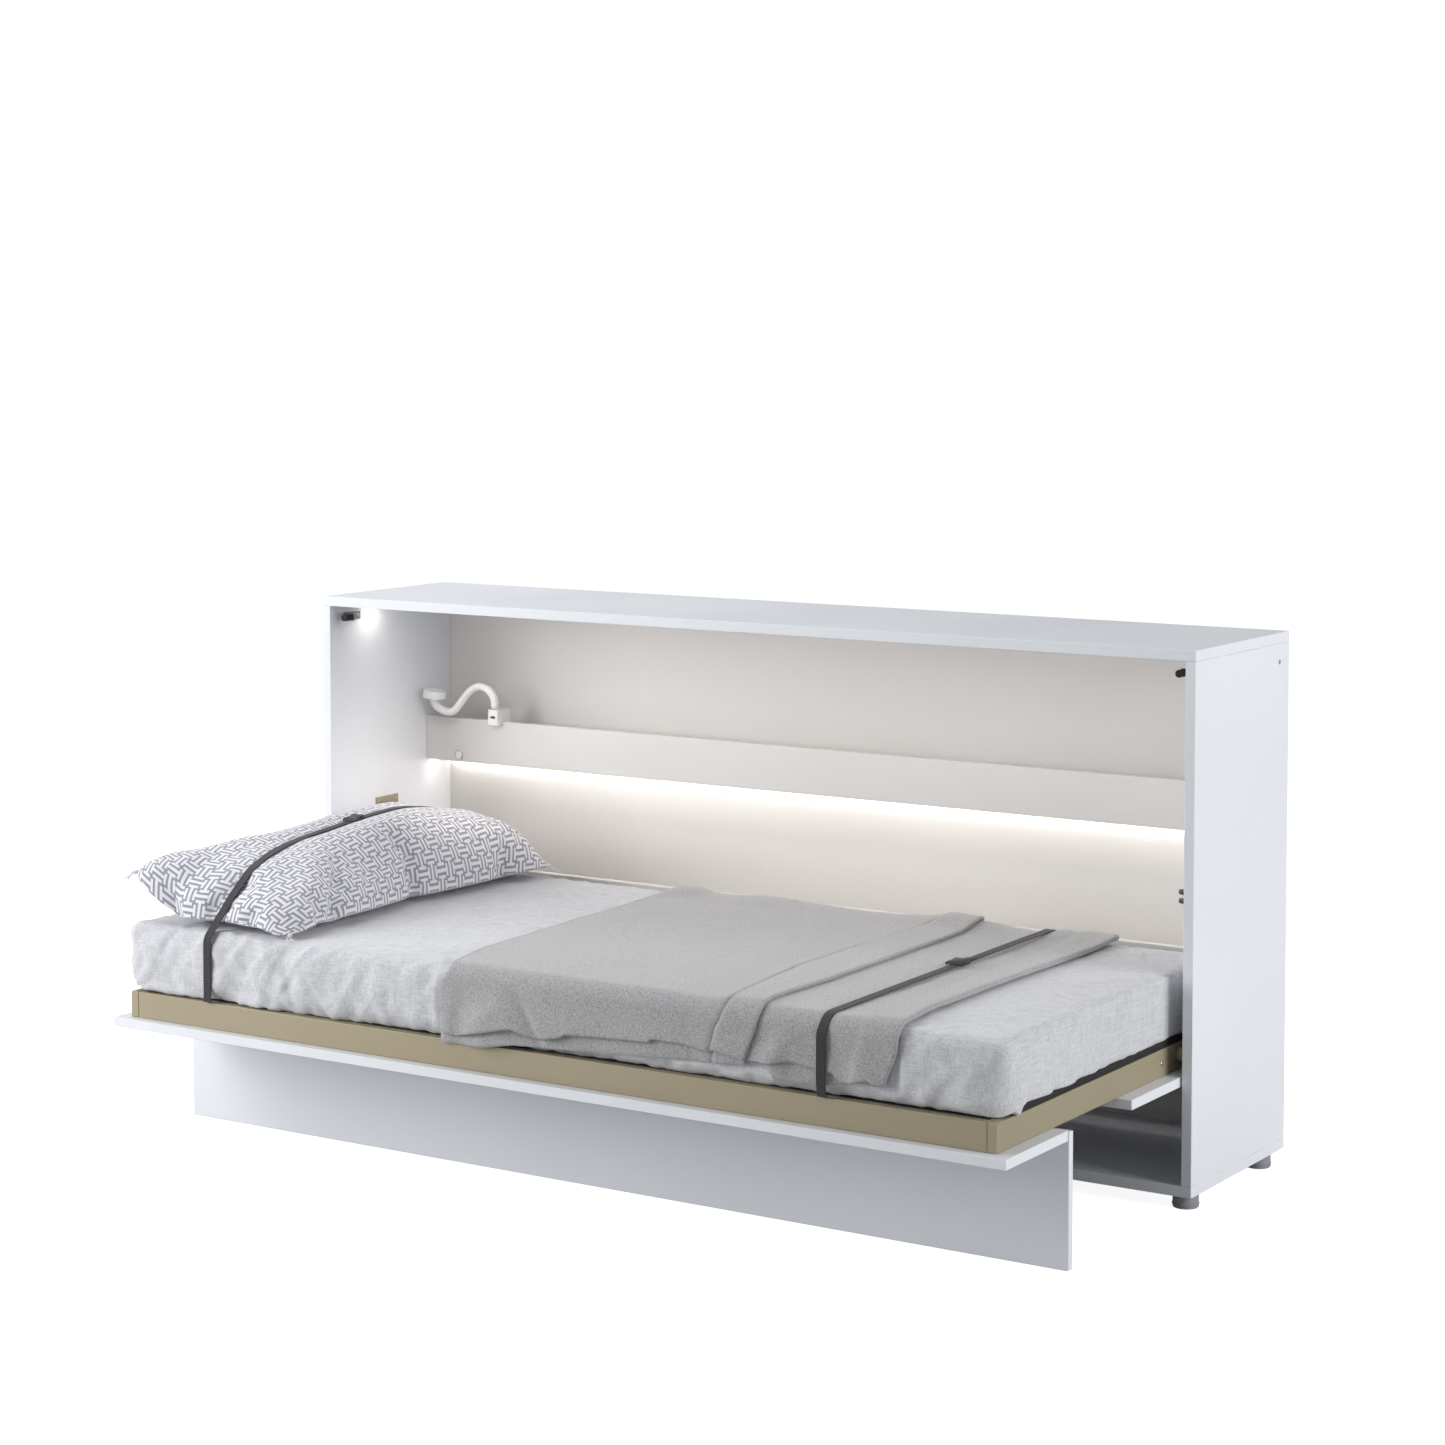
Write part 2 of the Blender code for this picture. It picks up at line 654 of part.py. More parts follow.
def build_pivots():
    y, z = behind(BED_PIVOT[0]), BED_PIVOT[1]
    pivot = (0.0, y, z)
    plate_x = INNER_X - GAP - PLATE_THICKNESS
    boss_start = FRAME_LENGTH / 2 + BOSS_GAP
    flange_end = FRAME_LENGTH / 2 + AXLE_FLANGE
    for label, side in SIDES:
        plate = box(
            "pivot_plate_" + label,
            mirrored(side, plate_x, INNER_X - GAP),
            (y - PIVOT_PLATE_HALF, y + PIVOT_PLATE_HALF),
            (z - PIVOT_PLATE_BELOW, z + PIVOT_PLATE_HALF),
            TAUPE_STEEL,
            edge=PLATE_EDGE,
        )
        boss = cutter(
            "pivot_boss_" + label,
            lambda mesh, side=side: add_cylinder(
                mesh, (side * boss_start, y, z), (side * (plate_x + PLATE_THICKNESS / 2), y, z), BOSS_RADIUS
            ),
        )
        boolean(plate, boss, "UNION")
        bore = cutter(
            "pivot_bore_" + label,
            lambda mesh, side=side: add_cylinder(
                mesh, (side * (boss_start - CUT_PAST / 2), y, z), (side * plate_x, y, z), BOSS_BORE
            ),
        )
        boolean(plate, bore)
        axle = cylinder(
            "pivot_axle_" + label,
            (side * (FRAME_LENGTH / 2 + GAP), y, z),
            (side * (plate_x - AXLE_END_GAP), y, z),
            AXLE_RADIUS,
            BRIGHT_STEEL,
            pivot,
        )
        flange = cutter(
            "axle_flange_" + label,
            lambda mesh, side=side: add_cylinder(
                mesh,
                (side * (FRAME_LENGTH / 2 + GAP), y, z),
                (side * flange_end, y, z),
                BOSS_RADIUS,
            ),
            pivot,
        )
        boolean(axle, flange, "UNION")


def build_catches():
    """Steel arms with rubber bumpers that meet the closed bed, and a pair of cone buffers on the right."""
    for label, side in SIDES:
        arm = box(
            "catch_arm_" + label,
            mirrored(side, INNER_X - GAP - CATCH_THICKNESS, INNER_X - GAP),
            span(CATCH_ARM_Y),
            (CATCH_Z - CATCH_HALF_HEIGHT, CATCH_Z + CATCH_HALF_HEIGHT),
            DARK_STEEL,
        )
        tongue = cutter(
            "catch_tongue_" + label,
            lambda mesh, side=side: add_box(
                mesh,
                mirrored(side, BUMPER_X - BUMPER_RADIUS, INNER_X - GAP - CATCH_THICKNESS / 2),
                span((CATCH_ARM_Y[0], CATCH_ARM_Y[0] + CATCH_TONGUE)),
                (CATCH_Z - BUMPER_RADIUS, CATCH_Z + BUMPER_RADIUS),
            ),
        )
        boolean(arm, tongue, "UNION")
        cylinder(
            "catch_bumper_" + label,
            (side * BUMPER_X, behind(BUMPER_FRONT), CATCH_Z),
            (side * BUMPER_X, behind(CATCH_ARM_Y[0] - GAP), CATCH_Z),
            BUMPER_RADIUS,
            BLACK_RUBBER,
        )
    buffer_y = behind(BUFFER_Y)
    plate_x = INNER_X - GAP - BUFFER_PLATE
    plate = box(
        "side_buffer",
        (plate_x, INNER_X - GAP),
        (buffer_y - BUFFER_HALF_WIDTH, buffer_y + BUFFER_HALF_WIDTH),
        BUFFER_Z,
        DARK_STEEL,
        edge=0.0,
    )
    cone_base, cone_tip = BUFFER_CONE_RADII
    middle = (BUFFER_Z[0] + BUFFER_Z[1]) / 2
    buried = BUFFER_PLATE / 3
    cones = cutter(
        "buffer_cones",
        lambda mesh: [
            add_cylinder(
                mesh,
                (plate_x + buried, buffer_y, middle + offset),
                (plate_x - BUFFER_REACH, buffer_y, middle + offset),
                cone_base,
                sides=20,
                end_radius=cone_tip,
            )
            for offset in (-BUFFER_CONE_OFFSET, BUFFER_CONE_OFFSET)
        ],
    )
    boolean(plate, cones, "UNION")


def rail_tube(name, x, y, z, axis, closed_front, pivot):
    """A rectangular steel tube along X or Y; the side rails are closed at the front."""
    tube = box(name, x, y, z, TAUPE_STEEL, pivot, edge=TUBE_ROUND)
    inner_x = (x[0] + TUBE_WALL, x[1] - TUBE_WALL)
    inner_y = (y[0] + TUBE_WALL, y[1] - TUBE_WALL)
    inner_z = (z[0] + TUBE_WALL, z[1] - TUBE_WALL)
    if axis == "x":
        inner_x = (x[0] - CUT_PAST, x[1] + CUT_PAST)
    else:
        inner_y = (y[0] + TUBE_WALL if closed_front else y[0] - CUT_PAST, y[1] + CUT_PAST)
    boolean(tube, cutter(name + "_bore", lambda mesh: add_box(mesh, inner_x, inner_y, inner_z), pivot))


def build_frame(pivot):
    z = (FRAME_Z, FRAME_TOP)
    half = FRAME_LENGTH / 2
    inner = half - RAIL_THICKNESS
    y = span(FRAME_Y)
    for label, side in SIDES:
        rail_tube("side_rail_" + label, mirrored(side, inner, half), y, z, "y", True, pivot)
    between = (-inner + GAP, inner - GAP)
    rail_tube("front_rail", between, (y[0], y[0] + RAIL_THICKNESS), z, "x", False, pivot)
    rail_tube("rear_rail", between, (y[1] - RAIL_THICKNESS, y[1]), z, "x", False, pivot)
    bar_z = (FRAME_Z, FRAME_Z + CROSS_BAR_HEIGHT)
    rail_tube("leg_bar", between, span(LEG_BAR_Y), bar_z, "x", False, pivot)
    rail_tube("centre_bar", between, span(CENTRE_BAR_Y), bar_z, "x", False, pivot)

    deck_y = (y[0] + RAIL_THICKNESS + GAP, y[1] - RAIL_THICKNESS - GAP)
    deck_x = (-inner + SLAT_MARGIN, inner - SLAT_MARGIN)
    deck = box("slat_base", deck_x, deck_y, (SLAT_TOP - SLAT_THICKNESS, SLAT_TOP), BIRCH, pivot, edge=0.0)
    pitch = (deck_x[1] - deck_x[0] - SLAT_WIDTH) / (SLAT_COUNT - 1)

    def windows(mesh):
        for index in range(SLAT_COUNT - 1):
            start = deck_x[0] + SLAT_WIDTH + index * pitch
            add_box(
                mesh,
                (start, start + pitch - SLAT_WIDTH),
                (deck_y[0] + SLAT_HOLDER_STRIP, deck_y[1] - SLAT_HOLDER_STRIP),
                (SLAT_TOP - 2 * SLAT_THICKNESS, SLAT_TOP + SLAT_THICKNESS),
            )

    boolean(deck, cutter("slat_windows", windows, pivot))


def build_door(pivot):
    x = (-DOOR_WIDTH / 2, DOOR_WIDTH / 2)
    z = (DOOR_Z, DOOR_Z + DOOR_THICKNESS)
    box("door_panel_front", x, span(FRONT_PANEL_Y), z, WHITE_LAMINATE, pivot)
    box("door_panel_rear", x, span(REAR_PANEL_Y), z, WHITE_LAMINATE, pivot)


def build_leg(pivot):
    """The middle strip of the door, which hangs down as the leg; its pins sit inside its thickness."""
    hinge_y, hinge_z = behind(LEG_HINGE[0]), LEG_HINGE[1]
    hinge = (0.0, hinge_y, hinge_z)
    front = hinge_y - LEG_THICKNESS / 2
    leg = box(
        "leg_panel",
        (-DOOR_WIDTH / 2, DOOR_WIDTH / 2),
        (front, front + LEG_THICKNESS),
        (0.0, LEG_TOP),
        WHITE_LAMINATE,
        hinge,
    )
    block_width, block_depth = HINGE_BLOCK

    def notches(mesh):
        for side in (-1, 1):
            x = side * LEG_HINGE_X
            add_box(
                mesh,
                (x - LEG_NOTCH_WIDTH / 2, x + LEG_NOTCH_WIDTH / 2),
                (front - CUT_PAST, front + LEG_THICKNESS + CUT_PAST),
                (LEG_TOP - LEG_NOTCH_DEPTH, LEG_TOP + CUT_PAST),
            )

    def pin_holes(mesh):
        reach = HINGE_PIN_LENGTH / 2 + HINGE_PIN_END_GAP
        for side in (-1, 1):
            x = side * LEG_HINGE_X
            add_cylinder(
                mesh,
                (x - reach, hinge_y, hinge_z),
                (x + reach, hinge_y, hinge_z),
                HINGE_PIN_RADIUS + HINGE_PIN_PLAY,
                sides=20,
            )

    boolean(leg, cutter("leg_pin_holes", pin_holes, hinge))
    boolean(leg, cutter("leg_notches", notches, hinge))
    for label, side in SIDES:
        x = side * LEG_HINGE_X
        block = box(
            "leg_hinge_block_" + label,
            (x - block_width / 2, x + block_width / 2),
            (hinge_y - block_depth / 2, hinge_y + block_depth / 2),
            (hinge_z - block_depth / 2, FRAME_Z - GAP),
            BRIGHT_STEEL,
            pivot,
            edge=0.0,
        )
        bore = cutter(
            "leg_block_bore_" + label,
            lambda mesh, x=x: add_cylinder(
                mesh,
                (x - block_width, hinge_y, hinge_z),
                (x + block_width, hinge_y, hinge_z),
                HINGE_PIN_RADIUS + HINGE_PIN_PLAY,
                sides=20,
            ),
            pivot,
        )
        boolean(block, bore)
        cylinder(
            "leg_hinge_pin_" + label,
            (x - HINGE_PIN_LENGTH / 2, hinge_y, hinge_z),
            (x + HINGE_PIN_LENGTH / 2, hinge_y, hinge_z),
            HINGE_PIN_RADIUS,
            BRIGHT_STEEL,
            pivot,
            sides=16,
        )


def pillow_top(x, y):
    """Height of the pillow's upper side above the mattress, from its seam at the rim to its crest."""
    u = (2 * x - PILLOW_X[0] - PILLOW_X[1]) / (PILLOW_X[1] - PILLOW_X[0])
    v = (2 * y - PILLOW_Y[0] - PILLOW_Y[1]) / (PILLOW_Y[1] - PILLOW_Y[0])
    u = max(-1.0, min(1.0, u))
    v = max(-1.0, min(1.0, v))
    lean = u + PILLOW_CREST_SHIFT * (u * u - 1.0)
    dome = math.sqrt(max(0.0, 1 - lean * lean)) * max(0.0, 1 - v**4) ** 0.5
    return PILLOW_SEAM + (PILLOW_HEIGHT - PILLOW_SEAM) * dome


def pillow_steps(limits, count):
    """Even turns from one limit to the other: points bunched at both ends, where the pillow curves most."""
    middle = (limits[0] + limits[1]) / 2
    half = (limits[1] - limits[0]) / 2
    return [middle - half * math.cos(math.pi * index / count) for index in range(count + 1)]


def build_pillow(pivot):
    base = MATTRESS_TOP + GAP
    columns, rows = PILLOW_COLUMNS, PILLOW_ROWS
    mesh = bmesh.new()
    grid = {}
    for i, x in enumerate(pillow_steps(PILLOW_X, columns)):
        for j, y in enumerate(pillow_steps(PILLOW_Y, rows)):
            grid[i, j, 0] = mesh.verts.new((x, behind(y), base))
            grid[i, j, 1] = mesh.verts.new((x, behind(y), base + pillow_top(x, y)))
    for i in range(columns):
        for j in range(rows):
            for level in (0, 1):
                mesh.faces.new([grid[i + a, j + b, level] for a, b in ((0, 0), (1, 0), (1, 1), (0, 1))])
    rim = [(i, 0) for i in range(columns)] + [(columns, j) for j in range(rows)]
    rim += [(i, rows) for i in range(columns, 0, -1)] + [(0, j) for j in range(rows, 0, -1)]
    for here, there in zip(rim, rim[1:] + rim[:1]):
        mesh.faces.new([grid[(*here, 0)], grid[(*there, 0)], grid[(*there, 1)], grid[(*here, 1)]])
    place("pillow", mesh, PILLOW_COTTON, pivot, smooth=True)


def build_mattress(pivot):
    length, width, height = MATTRESS_SIZE
    box(
        "mattress",
        (-length / 2, length / 2),
        span((MATTRESS_FRONT, MATTRESS_FRONT + width)),
        (MATTRESS_BOTTOM, MATTRESS_BOTTOM + height),
        SHEET_LINEN,
        pivot,
        edge=MATTRESS_ROUND,
        segments=MATTRESS_ROUND_STEPS,
    )


def throw_front_corner(radius):
    """Points of the rounded edge over which the throw hangs, from the drop up to the flat top."""
    centre = (THROW_FRONT + THROW_ROUND, THROW_TOP - THROW_ROUND)
    angles = [math.pi - math.pi / 2 * step / THROW_ROUND_STEPS for step in range(THROW_ROUND_STEPS + 1)]
    return [(centre[0] + radius * math.cos(a), centre[1] + radius * math.sin(a)) for a in angles]


def build_throw(pivot):
    """A folded blanket over the mattress, whose front edge hangs down; its left edge runs slantwise."""
    drop_back = MATTRESS_FRONT - GAP
    base = MATTRESS_TOP + GAP
    profile = [(THROW_FRONT, THROW_HEM_Z), (drop_back, THROW_HEM_Z), (drop_back, base)]
    profile += [(THROW_REAR, base), (THROW_REAR, THROW_TOP)]
    profile += throw_front_corner(THROW_ROUND)[::-1]

    def left_edge(y):
        share = (y - THROW_FRONT) / (THROW_REAR - THROW_FRONT)
        return THROW_X_LEFT_FRONT + share * (THROW_X_LEFT_REAR - THROW_X_LEFT_FRONT)

    mesh = bmesh.new()
    left = [mesh.verts.new((left_edge(y), behind(y), z)) for y, z in profile]
    right = [mesh.verts.new((THROW_X_RIGHT, behind(y), z)) for y, z in profile]
    mesh.faces.new(left)
    mesh.faces.new(list(reversed(right)))
    for index in range(len(profile)):
        after = (index + 1) % len(profile)
        mesh.faces.new([left[after], left[index], right[index], right[after]])
    place("throw_blanket", mesh, THROW_WOOL, pivot)


def strap_mesh(centre_x, route):
    """A flat band of even thickness on the outer side of a route of (y, z) points."""
    points = [Vector(point) for point in route]
    outer = []
    for index, point in enumerate(points):
        before = (point - points[index - 1]).normalized() if index else None
        after = (points[index + 1] - point).normalized() if index + 1 < len(points) else None
        before = before or after
        after = after or before
        bisector = (before + after).normalized()
        normal = Vector((-bisector.y, bisector.x))
        stretch = 1 / max(0.5, normal.dot(Vector((-before.y, before.x))))
        outer.append(point + normal * STRAP_THICKNESS * stretch)
    mesh = bmesh.new()
    loop = points + outer[::-1]
    sides = []
    for x in (centre_x - STRAP_WIDTH / 2, centre_x + STRAP_WIDTH / 2):
        sides.append([mesh.verts.new((x, behind(point.x), point.y)) for point in loop])
    count = len(points)
    for side in sides:
        for index in range(count - 1):
            mesh.faces.new([side[index], side[index + 1], side[-2 - index], side[-1 - index]])
    for index in range(len(loop)):
        after = (index + 1) % len(loop)
        mesh.faces.new([sides[0][index], sides[0][after], sides[1][after], sides[1][index]])
    return mesh


def pillow_strap_route():
    """From the front rail's top, up the mattress, over the pillow and down behind the mattress."""
    near = MATTRESS_FRONT - STRAP_AIR
    far = MATTRESS_REAR + STRAP_AIR
    base = MATTRESS_TOP + GAP + STRAP_AIR
    route = [
        (near, FRAME_TOP + STRAP_END_LIFT),
        (near, MATTRESS_TOP - STRAP_SHOULDER),
        (near + STRAP_BEND, base),
        (PILLOW_Y[0] - STRAP_BEND, base + PILLOW_SEAM),
    ]
    middle = (PILLOW_Y[0] + PILLOW_Y[1]) / 2
    half = (PILLOW_Y[1] - PILLOW_Y[0]) / 2
    for y in pillow_steps(PILLOW_Y, PILLOW_ROWS)[1:-1]:
        outward = PILLOW_STRAP_AIR * (y - middle) / half
        route.append((y + outward, base + pillow_top(PILLOW_STRAP_X, y) + PILLOW_STRAP_AIR))
    route += [(far, base + 2 * STRAP_SHOULDER), (far, FRAME_TOP + STRAP_END_LIFT)]
    return route


def throw_strap_route():
    """Over the folded blanket, from the front rail's top to behind the mattress."""
    far = MATTRESS_REAR + STRAP_AIR
    top = THROW_TOP + STRAP_AIR
    route = [(THROW_FRONT - STRAP_AIR, FRAME_TOP + STRAP_END_LIFT)]
    route += throw_front_corner(THROW_ROUND + STRAP_AIR)
    route += [(THROW_REAR + STRAP_AIR, top), (far, top - THROW_THICKNESS)]
    route.append((far, FRAME_TOP + STRAP_END_LIFT))
    return route


def buckle(name, centre_x, z, pivot):
    """A two-bar strap buckle, as one frame that stands just clear of the band."""
    length, width, height = BUCKLE_SIZE
    y = behind(BUCKLE_Y)
    middle = (y - length / 2, y + length / 2)
    frame_x = (centre_x - width / 2, centre_x + width / 2)
    obj = box(name, frame_x, middle, (z, z + height), DARK_STEEL, pivot, edge=0.0)

    def slots(cut):
        slot_x = (centre_x - STRAP_WIDTH / 2, centre_x + STRAP_WIDTH / 2)
        bar = (length - 2 * BUCKLE_SLOT) / 3
        for start in (middle[0] + bar, middle[1] - bar - BUCKLE_SLOT):
            add_box(cut, slot_x, (start, start + BUCKLE_SLOT), (z - height, z + 2 * height))

    boolean(obj, cutter(name + "_slots", slots, pivot))


def build_straps(pivot):
    place("pillow_strap", strap_mesh(PILLOW_STRAP_X, pillow_strap_route()), WEBBING, pivot)
    place("throw_strap", strap_mesh(THROW_STRAP_X, throw_strap_route()), WEBBING, pivot)
    lift = STRAP_AIR + STRAP_THICKNESS + BUCKLE_AIR
    buckle("throw_strap_buckle", THROW_STRAP_X, THROW_TOP + lift, pivot)
    crest = MATTRESS_TOP + GAP + pillow_top(PILLOW_STRAP_X, BUCKLE_Y)
    buckle("pillow_strap_buckle", PILLOW_STRAP_X, crest + PILLOW_STRAP_AIR + lift + GAP, pivot)


def build():
    for old in list(bpy.data.objects):
        bpy.data.objects.remove(old, do_unlink=True)
    pivot = (0.0, behind(BED_PIVOT[0]), BED_PIVOT[1])
    build_carcass()
    build_feet()
    build_shelves_and_button()
    build_lighting()
    build_lamp()
    build_strut_plates()
    build_struts()
    build_pivots()
    build_catches()
    build_frame(pivot)
    build_door(pivot)
    build_leg(pivot)
    build_mattress(pivot)
    build_pillow(pivot)
    build_throw(pivot)
    build_straps(pivot)


build()
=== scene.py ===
"""The looks of the horizontal fold-down wall bed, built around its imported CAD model.

Metres, +Z up, +X along the cabinet, +Y back to the wall. Places come from the CAD nodes' own boxes.
"""

import json
import math

import bmesh
import bpy
import numpy as np
from mathutils import Matrix, Vector, noise


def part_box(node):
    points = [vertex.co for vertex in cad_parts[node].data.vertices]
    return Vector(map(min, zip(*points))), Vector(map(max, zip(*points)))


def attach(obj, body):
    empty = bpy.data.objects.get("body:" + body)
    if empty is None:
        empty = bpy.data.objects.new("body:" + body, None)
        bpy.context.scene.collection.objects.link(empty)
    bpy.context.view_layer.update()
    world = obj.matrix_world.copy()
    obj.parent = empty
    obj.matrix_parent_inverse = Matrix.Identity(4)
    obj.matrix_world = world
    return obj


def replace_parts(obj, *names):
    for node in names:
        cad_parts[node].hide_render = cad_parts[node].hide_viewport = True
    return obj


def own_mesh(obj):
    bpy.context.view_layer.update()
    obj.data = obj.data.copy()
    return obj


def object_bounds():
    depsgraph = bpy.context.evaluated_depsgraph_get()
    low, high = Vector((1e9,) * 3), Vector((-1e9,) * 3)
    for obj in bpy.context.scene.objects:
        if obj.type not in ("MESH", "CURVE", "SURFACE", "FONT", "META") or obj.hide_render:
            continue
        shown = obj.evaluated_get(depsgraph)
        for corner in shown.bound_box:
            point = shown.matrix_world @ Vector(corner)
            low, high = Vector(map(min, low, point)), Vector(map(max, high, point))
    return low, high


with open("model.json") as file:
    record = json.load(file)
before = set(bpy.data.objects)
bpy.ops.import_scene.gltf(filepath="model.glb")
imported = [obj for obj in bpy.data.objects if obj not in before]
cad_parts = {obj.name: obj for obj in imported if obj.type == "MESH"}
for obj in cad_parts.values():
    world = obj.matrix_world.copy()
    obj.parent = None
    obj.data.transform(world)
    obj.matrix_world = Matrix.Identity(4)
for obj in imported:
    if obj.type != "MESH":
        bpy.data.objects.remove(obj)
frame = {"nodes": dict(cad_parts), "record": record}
cad_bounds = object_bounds()

# The photograph's camera, solved from the cabinet's straight edges
CAMERA_PLACE = (3.5616, -5.4033, 1.7083)
CAMERA_DOWN_DEG = 3.529
CAMERA_TURN_DEG = 32.752
CAMERA_LENS_MM = 80.437
CAMERA_SHIFT = -0.15

# Sizes that the CAD boxes don't say. The throw: its cloth, its layers' pitch and its folds, along x
CLOTH = 0.0016
THROW_PITCH = 0.0042
THROW_LEFT = -0.190
PLEAT_X = (0.432, 0.515)
THROW_RIGHT = 0.800
TURNED_EDGE = 0.060
THROW_TOP_CORNER = 0.030
THROW_HEM_Z = 0.315
FRONT_LIMIT_Y = -0.5690
FRONT_LIMIT_GIVE = 0.0080

# The straps: the pillow's runs askew over its front, and the throw's lies a little right of the CAD's
STRAP_WIDTH = 0.020
STRAP_THICKNESS = 0.0018
STRAP_AIR = 0.0009
STRAP_SKEW = 0.014
STRAP_SKEW_Y = (-0.50, -0.22)
THROW_STRAP_SHIFT = 0.014
BUCKLE_WIDTH = 0.033

# The pillow: the size its panels are cut to and its crease, and how far out along x its corner ties may reach
PILLOW_CUT = (0.455, 0.965)
PILLOW_CREASE = ((-0.606, -0.385), (-0.690, -0.265))
SIDE_LIMIT_X = 1.0315

# The sheet: radii of its upright, top and bottom edges, and how far it bulges past the foam
SHEET_ROUND = (0.022, 0.034, 0.006)
SHEET_BULGE = (0.014, 0.014)
SHEET_REAR_HALF = 1.0035
# Height of the black strip under the sheet's foot end, which is painted shade for the shadowed gap there
SHADE_STRIP_HEIGHT = 0.013

# The pillow case's print and the slats
LATTICE_CELL = 0.027
SLAT_COUNT = 13
SLAT_WIDTH = 0.065
SLAT_HOLDER = 0.040

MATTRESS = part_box("mattress")
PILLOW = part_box("pillow")
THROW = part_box("throw_blanket")
PILLOW_STRAP_X = sum(corner.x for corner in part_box("pillow_strap")) / 2
THROW_STRAP_X = sum(corner.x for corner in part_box("throw_strap")) / 2 + THROW_STRAP_SHIFT
CABINET_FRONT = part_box("cabinet_top")[0].y
SIDES = (("left", -1), ("right", 1))


def pillow_strap_x(y):
    """Where the pillow's strap runs: a little askew at its front end."""
    share = np.clip((y - STRAP_SKEW_Y[0]) / (STRAP_SKEW_Y[1] - STRAP_SKEW_Y[0]), 0, 1)
    return PILLOW_STRAP_X + STRAP_SKEW * (1 - share)


# ---------------------------------------------------------------------------------------------------- camera


def build_camera():
    data = bpy.data.cameras.new("camera")
    data.sensor_width = 36.0
    data.lens = CAMERA_LENS_MM
    data.shift_y = CAMERA_SHIFT
    obj = bpy.data.objects.new("camera", data)
    obj.location = CAMERA_PLACE
    obj.rotation_euler = (math.radians(90.0 - CAMERA_DOWN_DEG), 0.0, math.radians(CAMERA_TURN_DEG))
    bpy.context.scene.collection.objects.link(obj)
    bpy.context.scene.camera = obj


# ------------------------------------------------------------------------------------------------- materials


def srgb(red, green, blue):
    """A linear colour from display values between 0 and 255."""
    linear = []
    for value in (red, green, blue):
        share = value / 255
        linear.append(share / 12.92 if share <= 0.04045 else ((share + 0.055) / 1.055) ** 2.4)
    return tuple(linear)


def scaled(colour, factor):
    return tuple(min(1.0, channel * factor) for channel in colour)


class Surface:
    """A material in the making: its Principled shader, and short ways to put nodes in front of it."""

    def __init__(self, name, roughness, metallic=0.0, sheen=0.0, coat=0.0, specular=0.5):
        self.material = bpy.data.materials.new(name)
        self.material.use_nodes = True
        self.tree = self.material.node_tree
        self.shader = self.tree.nodes["Principled BSDF"]
        self.shader.inputs["Roughness"].default_value = roughness
        self.shader.inputs["Metallic"].default_value = metallic
        self.shader.inputs["Specular IOR Level"].default_value = specular
        self.shader.inputs["Sheen Weight"].default_value = sheen
        self.shader.inputs["Coat Weight"].default_value = coat
        self.place = self.node("TexCoord").outputs["Object"]
        self.height = None

    def node(self, kind, inputs=None, **settings):
        made = self.tree.nodes.new("ShaderNode" + kind)
        for name, value in settings.items():
            setattr(made, name, value)
        for name, value in (inputs or {}).items():
            socket = made.inputs[name]
            if isinstance(value, bpy.types.NodeSocket):
                self.tree.links.new(value, socket)
            else:
                socket.default_value = value
        return made

    def math(self, operation, *values):
        return self.node("Math", dict(enumerate(values)), operation=operation).outputs[0]

    def noise(self, scale, stretch=(1.0, 1.0, 1.0), detail=3.0, roughness=0.5, distortion=0.0, source=None):
        """Fractal noise, scale per metre, with its grain drawn out along the axes whose stretch is small."""
        moved = self.node("Mapping", {"Vector": source or self.place, "Scale": stretch}).outputs[0]
        inputs = {"Vector": moved, "Scale": scale, "Detail": detail, "Roughness": roughness}
        inputs["Distortion"] = distortion
        return self.node("TexNoise", inputs).outputs[0]

    def ramp(self, factor, stops, smooth=False):
        made = self.node("ValToRGB", {"Fac": factor})
        elements = made.color_ramp.elements
        if smooth:
            made.color_ramp.interpolation = "EASE"
        while len(elements) < len(stops):
            elements.new(0.5)
        for element, (position, colour) in zip(elements, stops):
            element.position = position
            element.color = (*colour, 1.0)
        return made.outputs[0]

    def spread(self, factor, low, high, start=0.0, end=1.0):
        """A number that runs from low to high as factor runs from start to end."""
        inputs = {"Value": factor, "From Min": start, "From Max": end, "To Min": low, "To Max": high}
        return self.node("MapRange", inputs).outputs[0]

    def mix(self, factor, first, second, blend="MIX"):
        made = self.tree.nodes.new("ShaderNodeMix")
        made.data_type = "RGBA"
        made.blend_type = blend
        for index, value in ((0, factor), (6, first), (7, second)):
            if isinstance(value, bpy.types.NodeSocket):
                self.tree.links.new(value, made.inputs[index])
            elif index:
                made.inputs[index].default_value = (*value, 1.0)
            else:
                made.inputs[index].default_value = value
        return made.outputs[2]

    def colour(self, socket):
        self.tree.links.new(socket, self.shader.inputs["Base Color"])

    def rough(self, factor, low, high, start=0.3, end=0.7):
        self.tree.links.new(self.spread(factor, low, high, start, end), self.shader.inputs["Roughness"])

    def bump(self, height, depth, strength=1.0):
        """Adds a layer of relief; depth is in metres."""
        inputs = {"Height": height, "Distance": depth, "Strength": strength}
        if self.height is not None:
            inputs["Normal"] = self.height
        self.height = self.node("Bump", inputs).outputs[0]
        self.tree.links.new(self.height, self.shader.inputs["Normal"])

    def edges(self):
        """1 on the narrow rounded edges between a box's flat sides, where a board wears, and 0 elsewhere."""
        facing = self.node("TexCoord").outputs["Normal"]
        parts = self.node("SeparateXYZ", {0: facing}).outputs
        largest = self.math("ABSOLUTE", parts[0])
        for index in (1, 2):
            largest = self.math("MAXIMUM", largest, self.math("ABSOLUTE", parts[index]))
        return self.spread(largest, 1.0, 0.0, 0.80, 0.97)


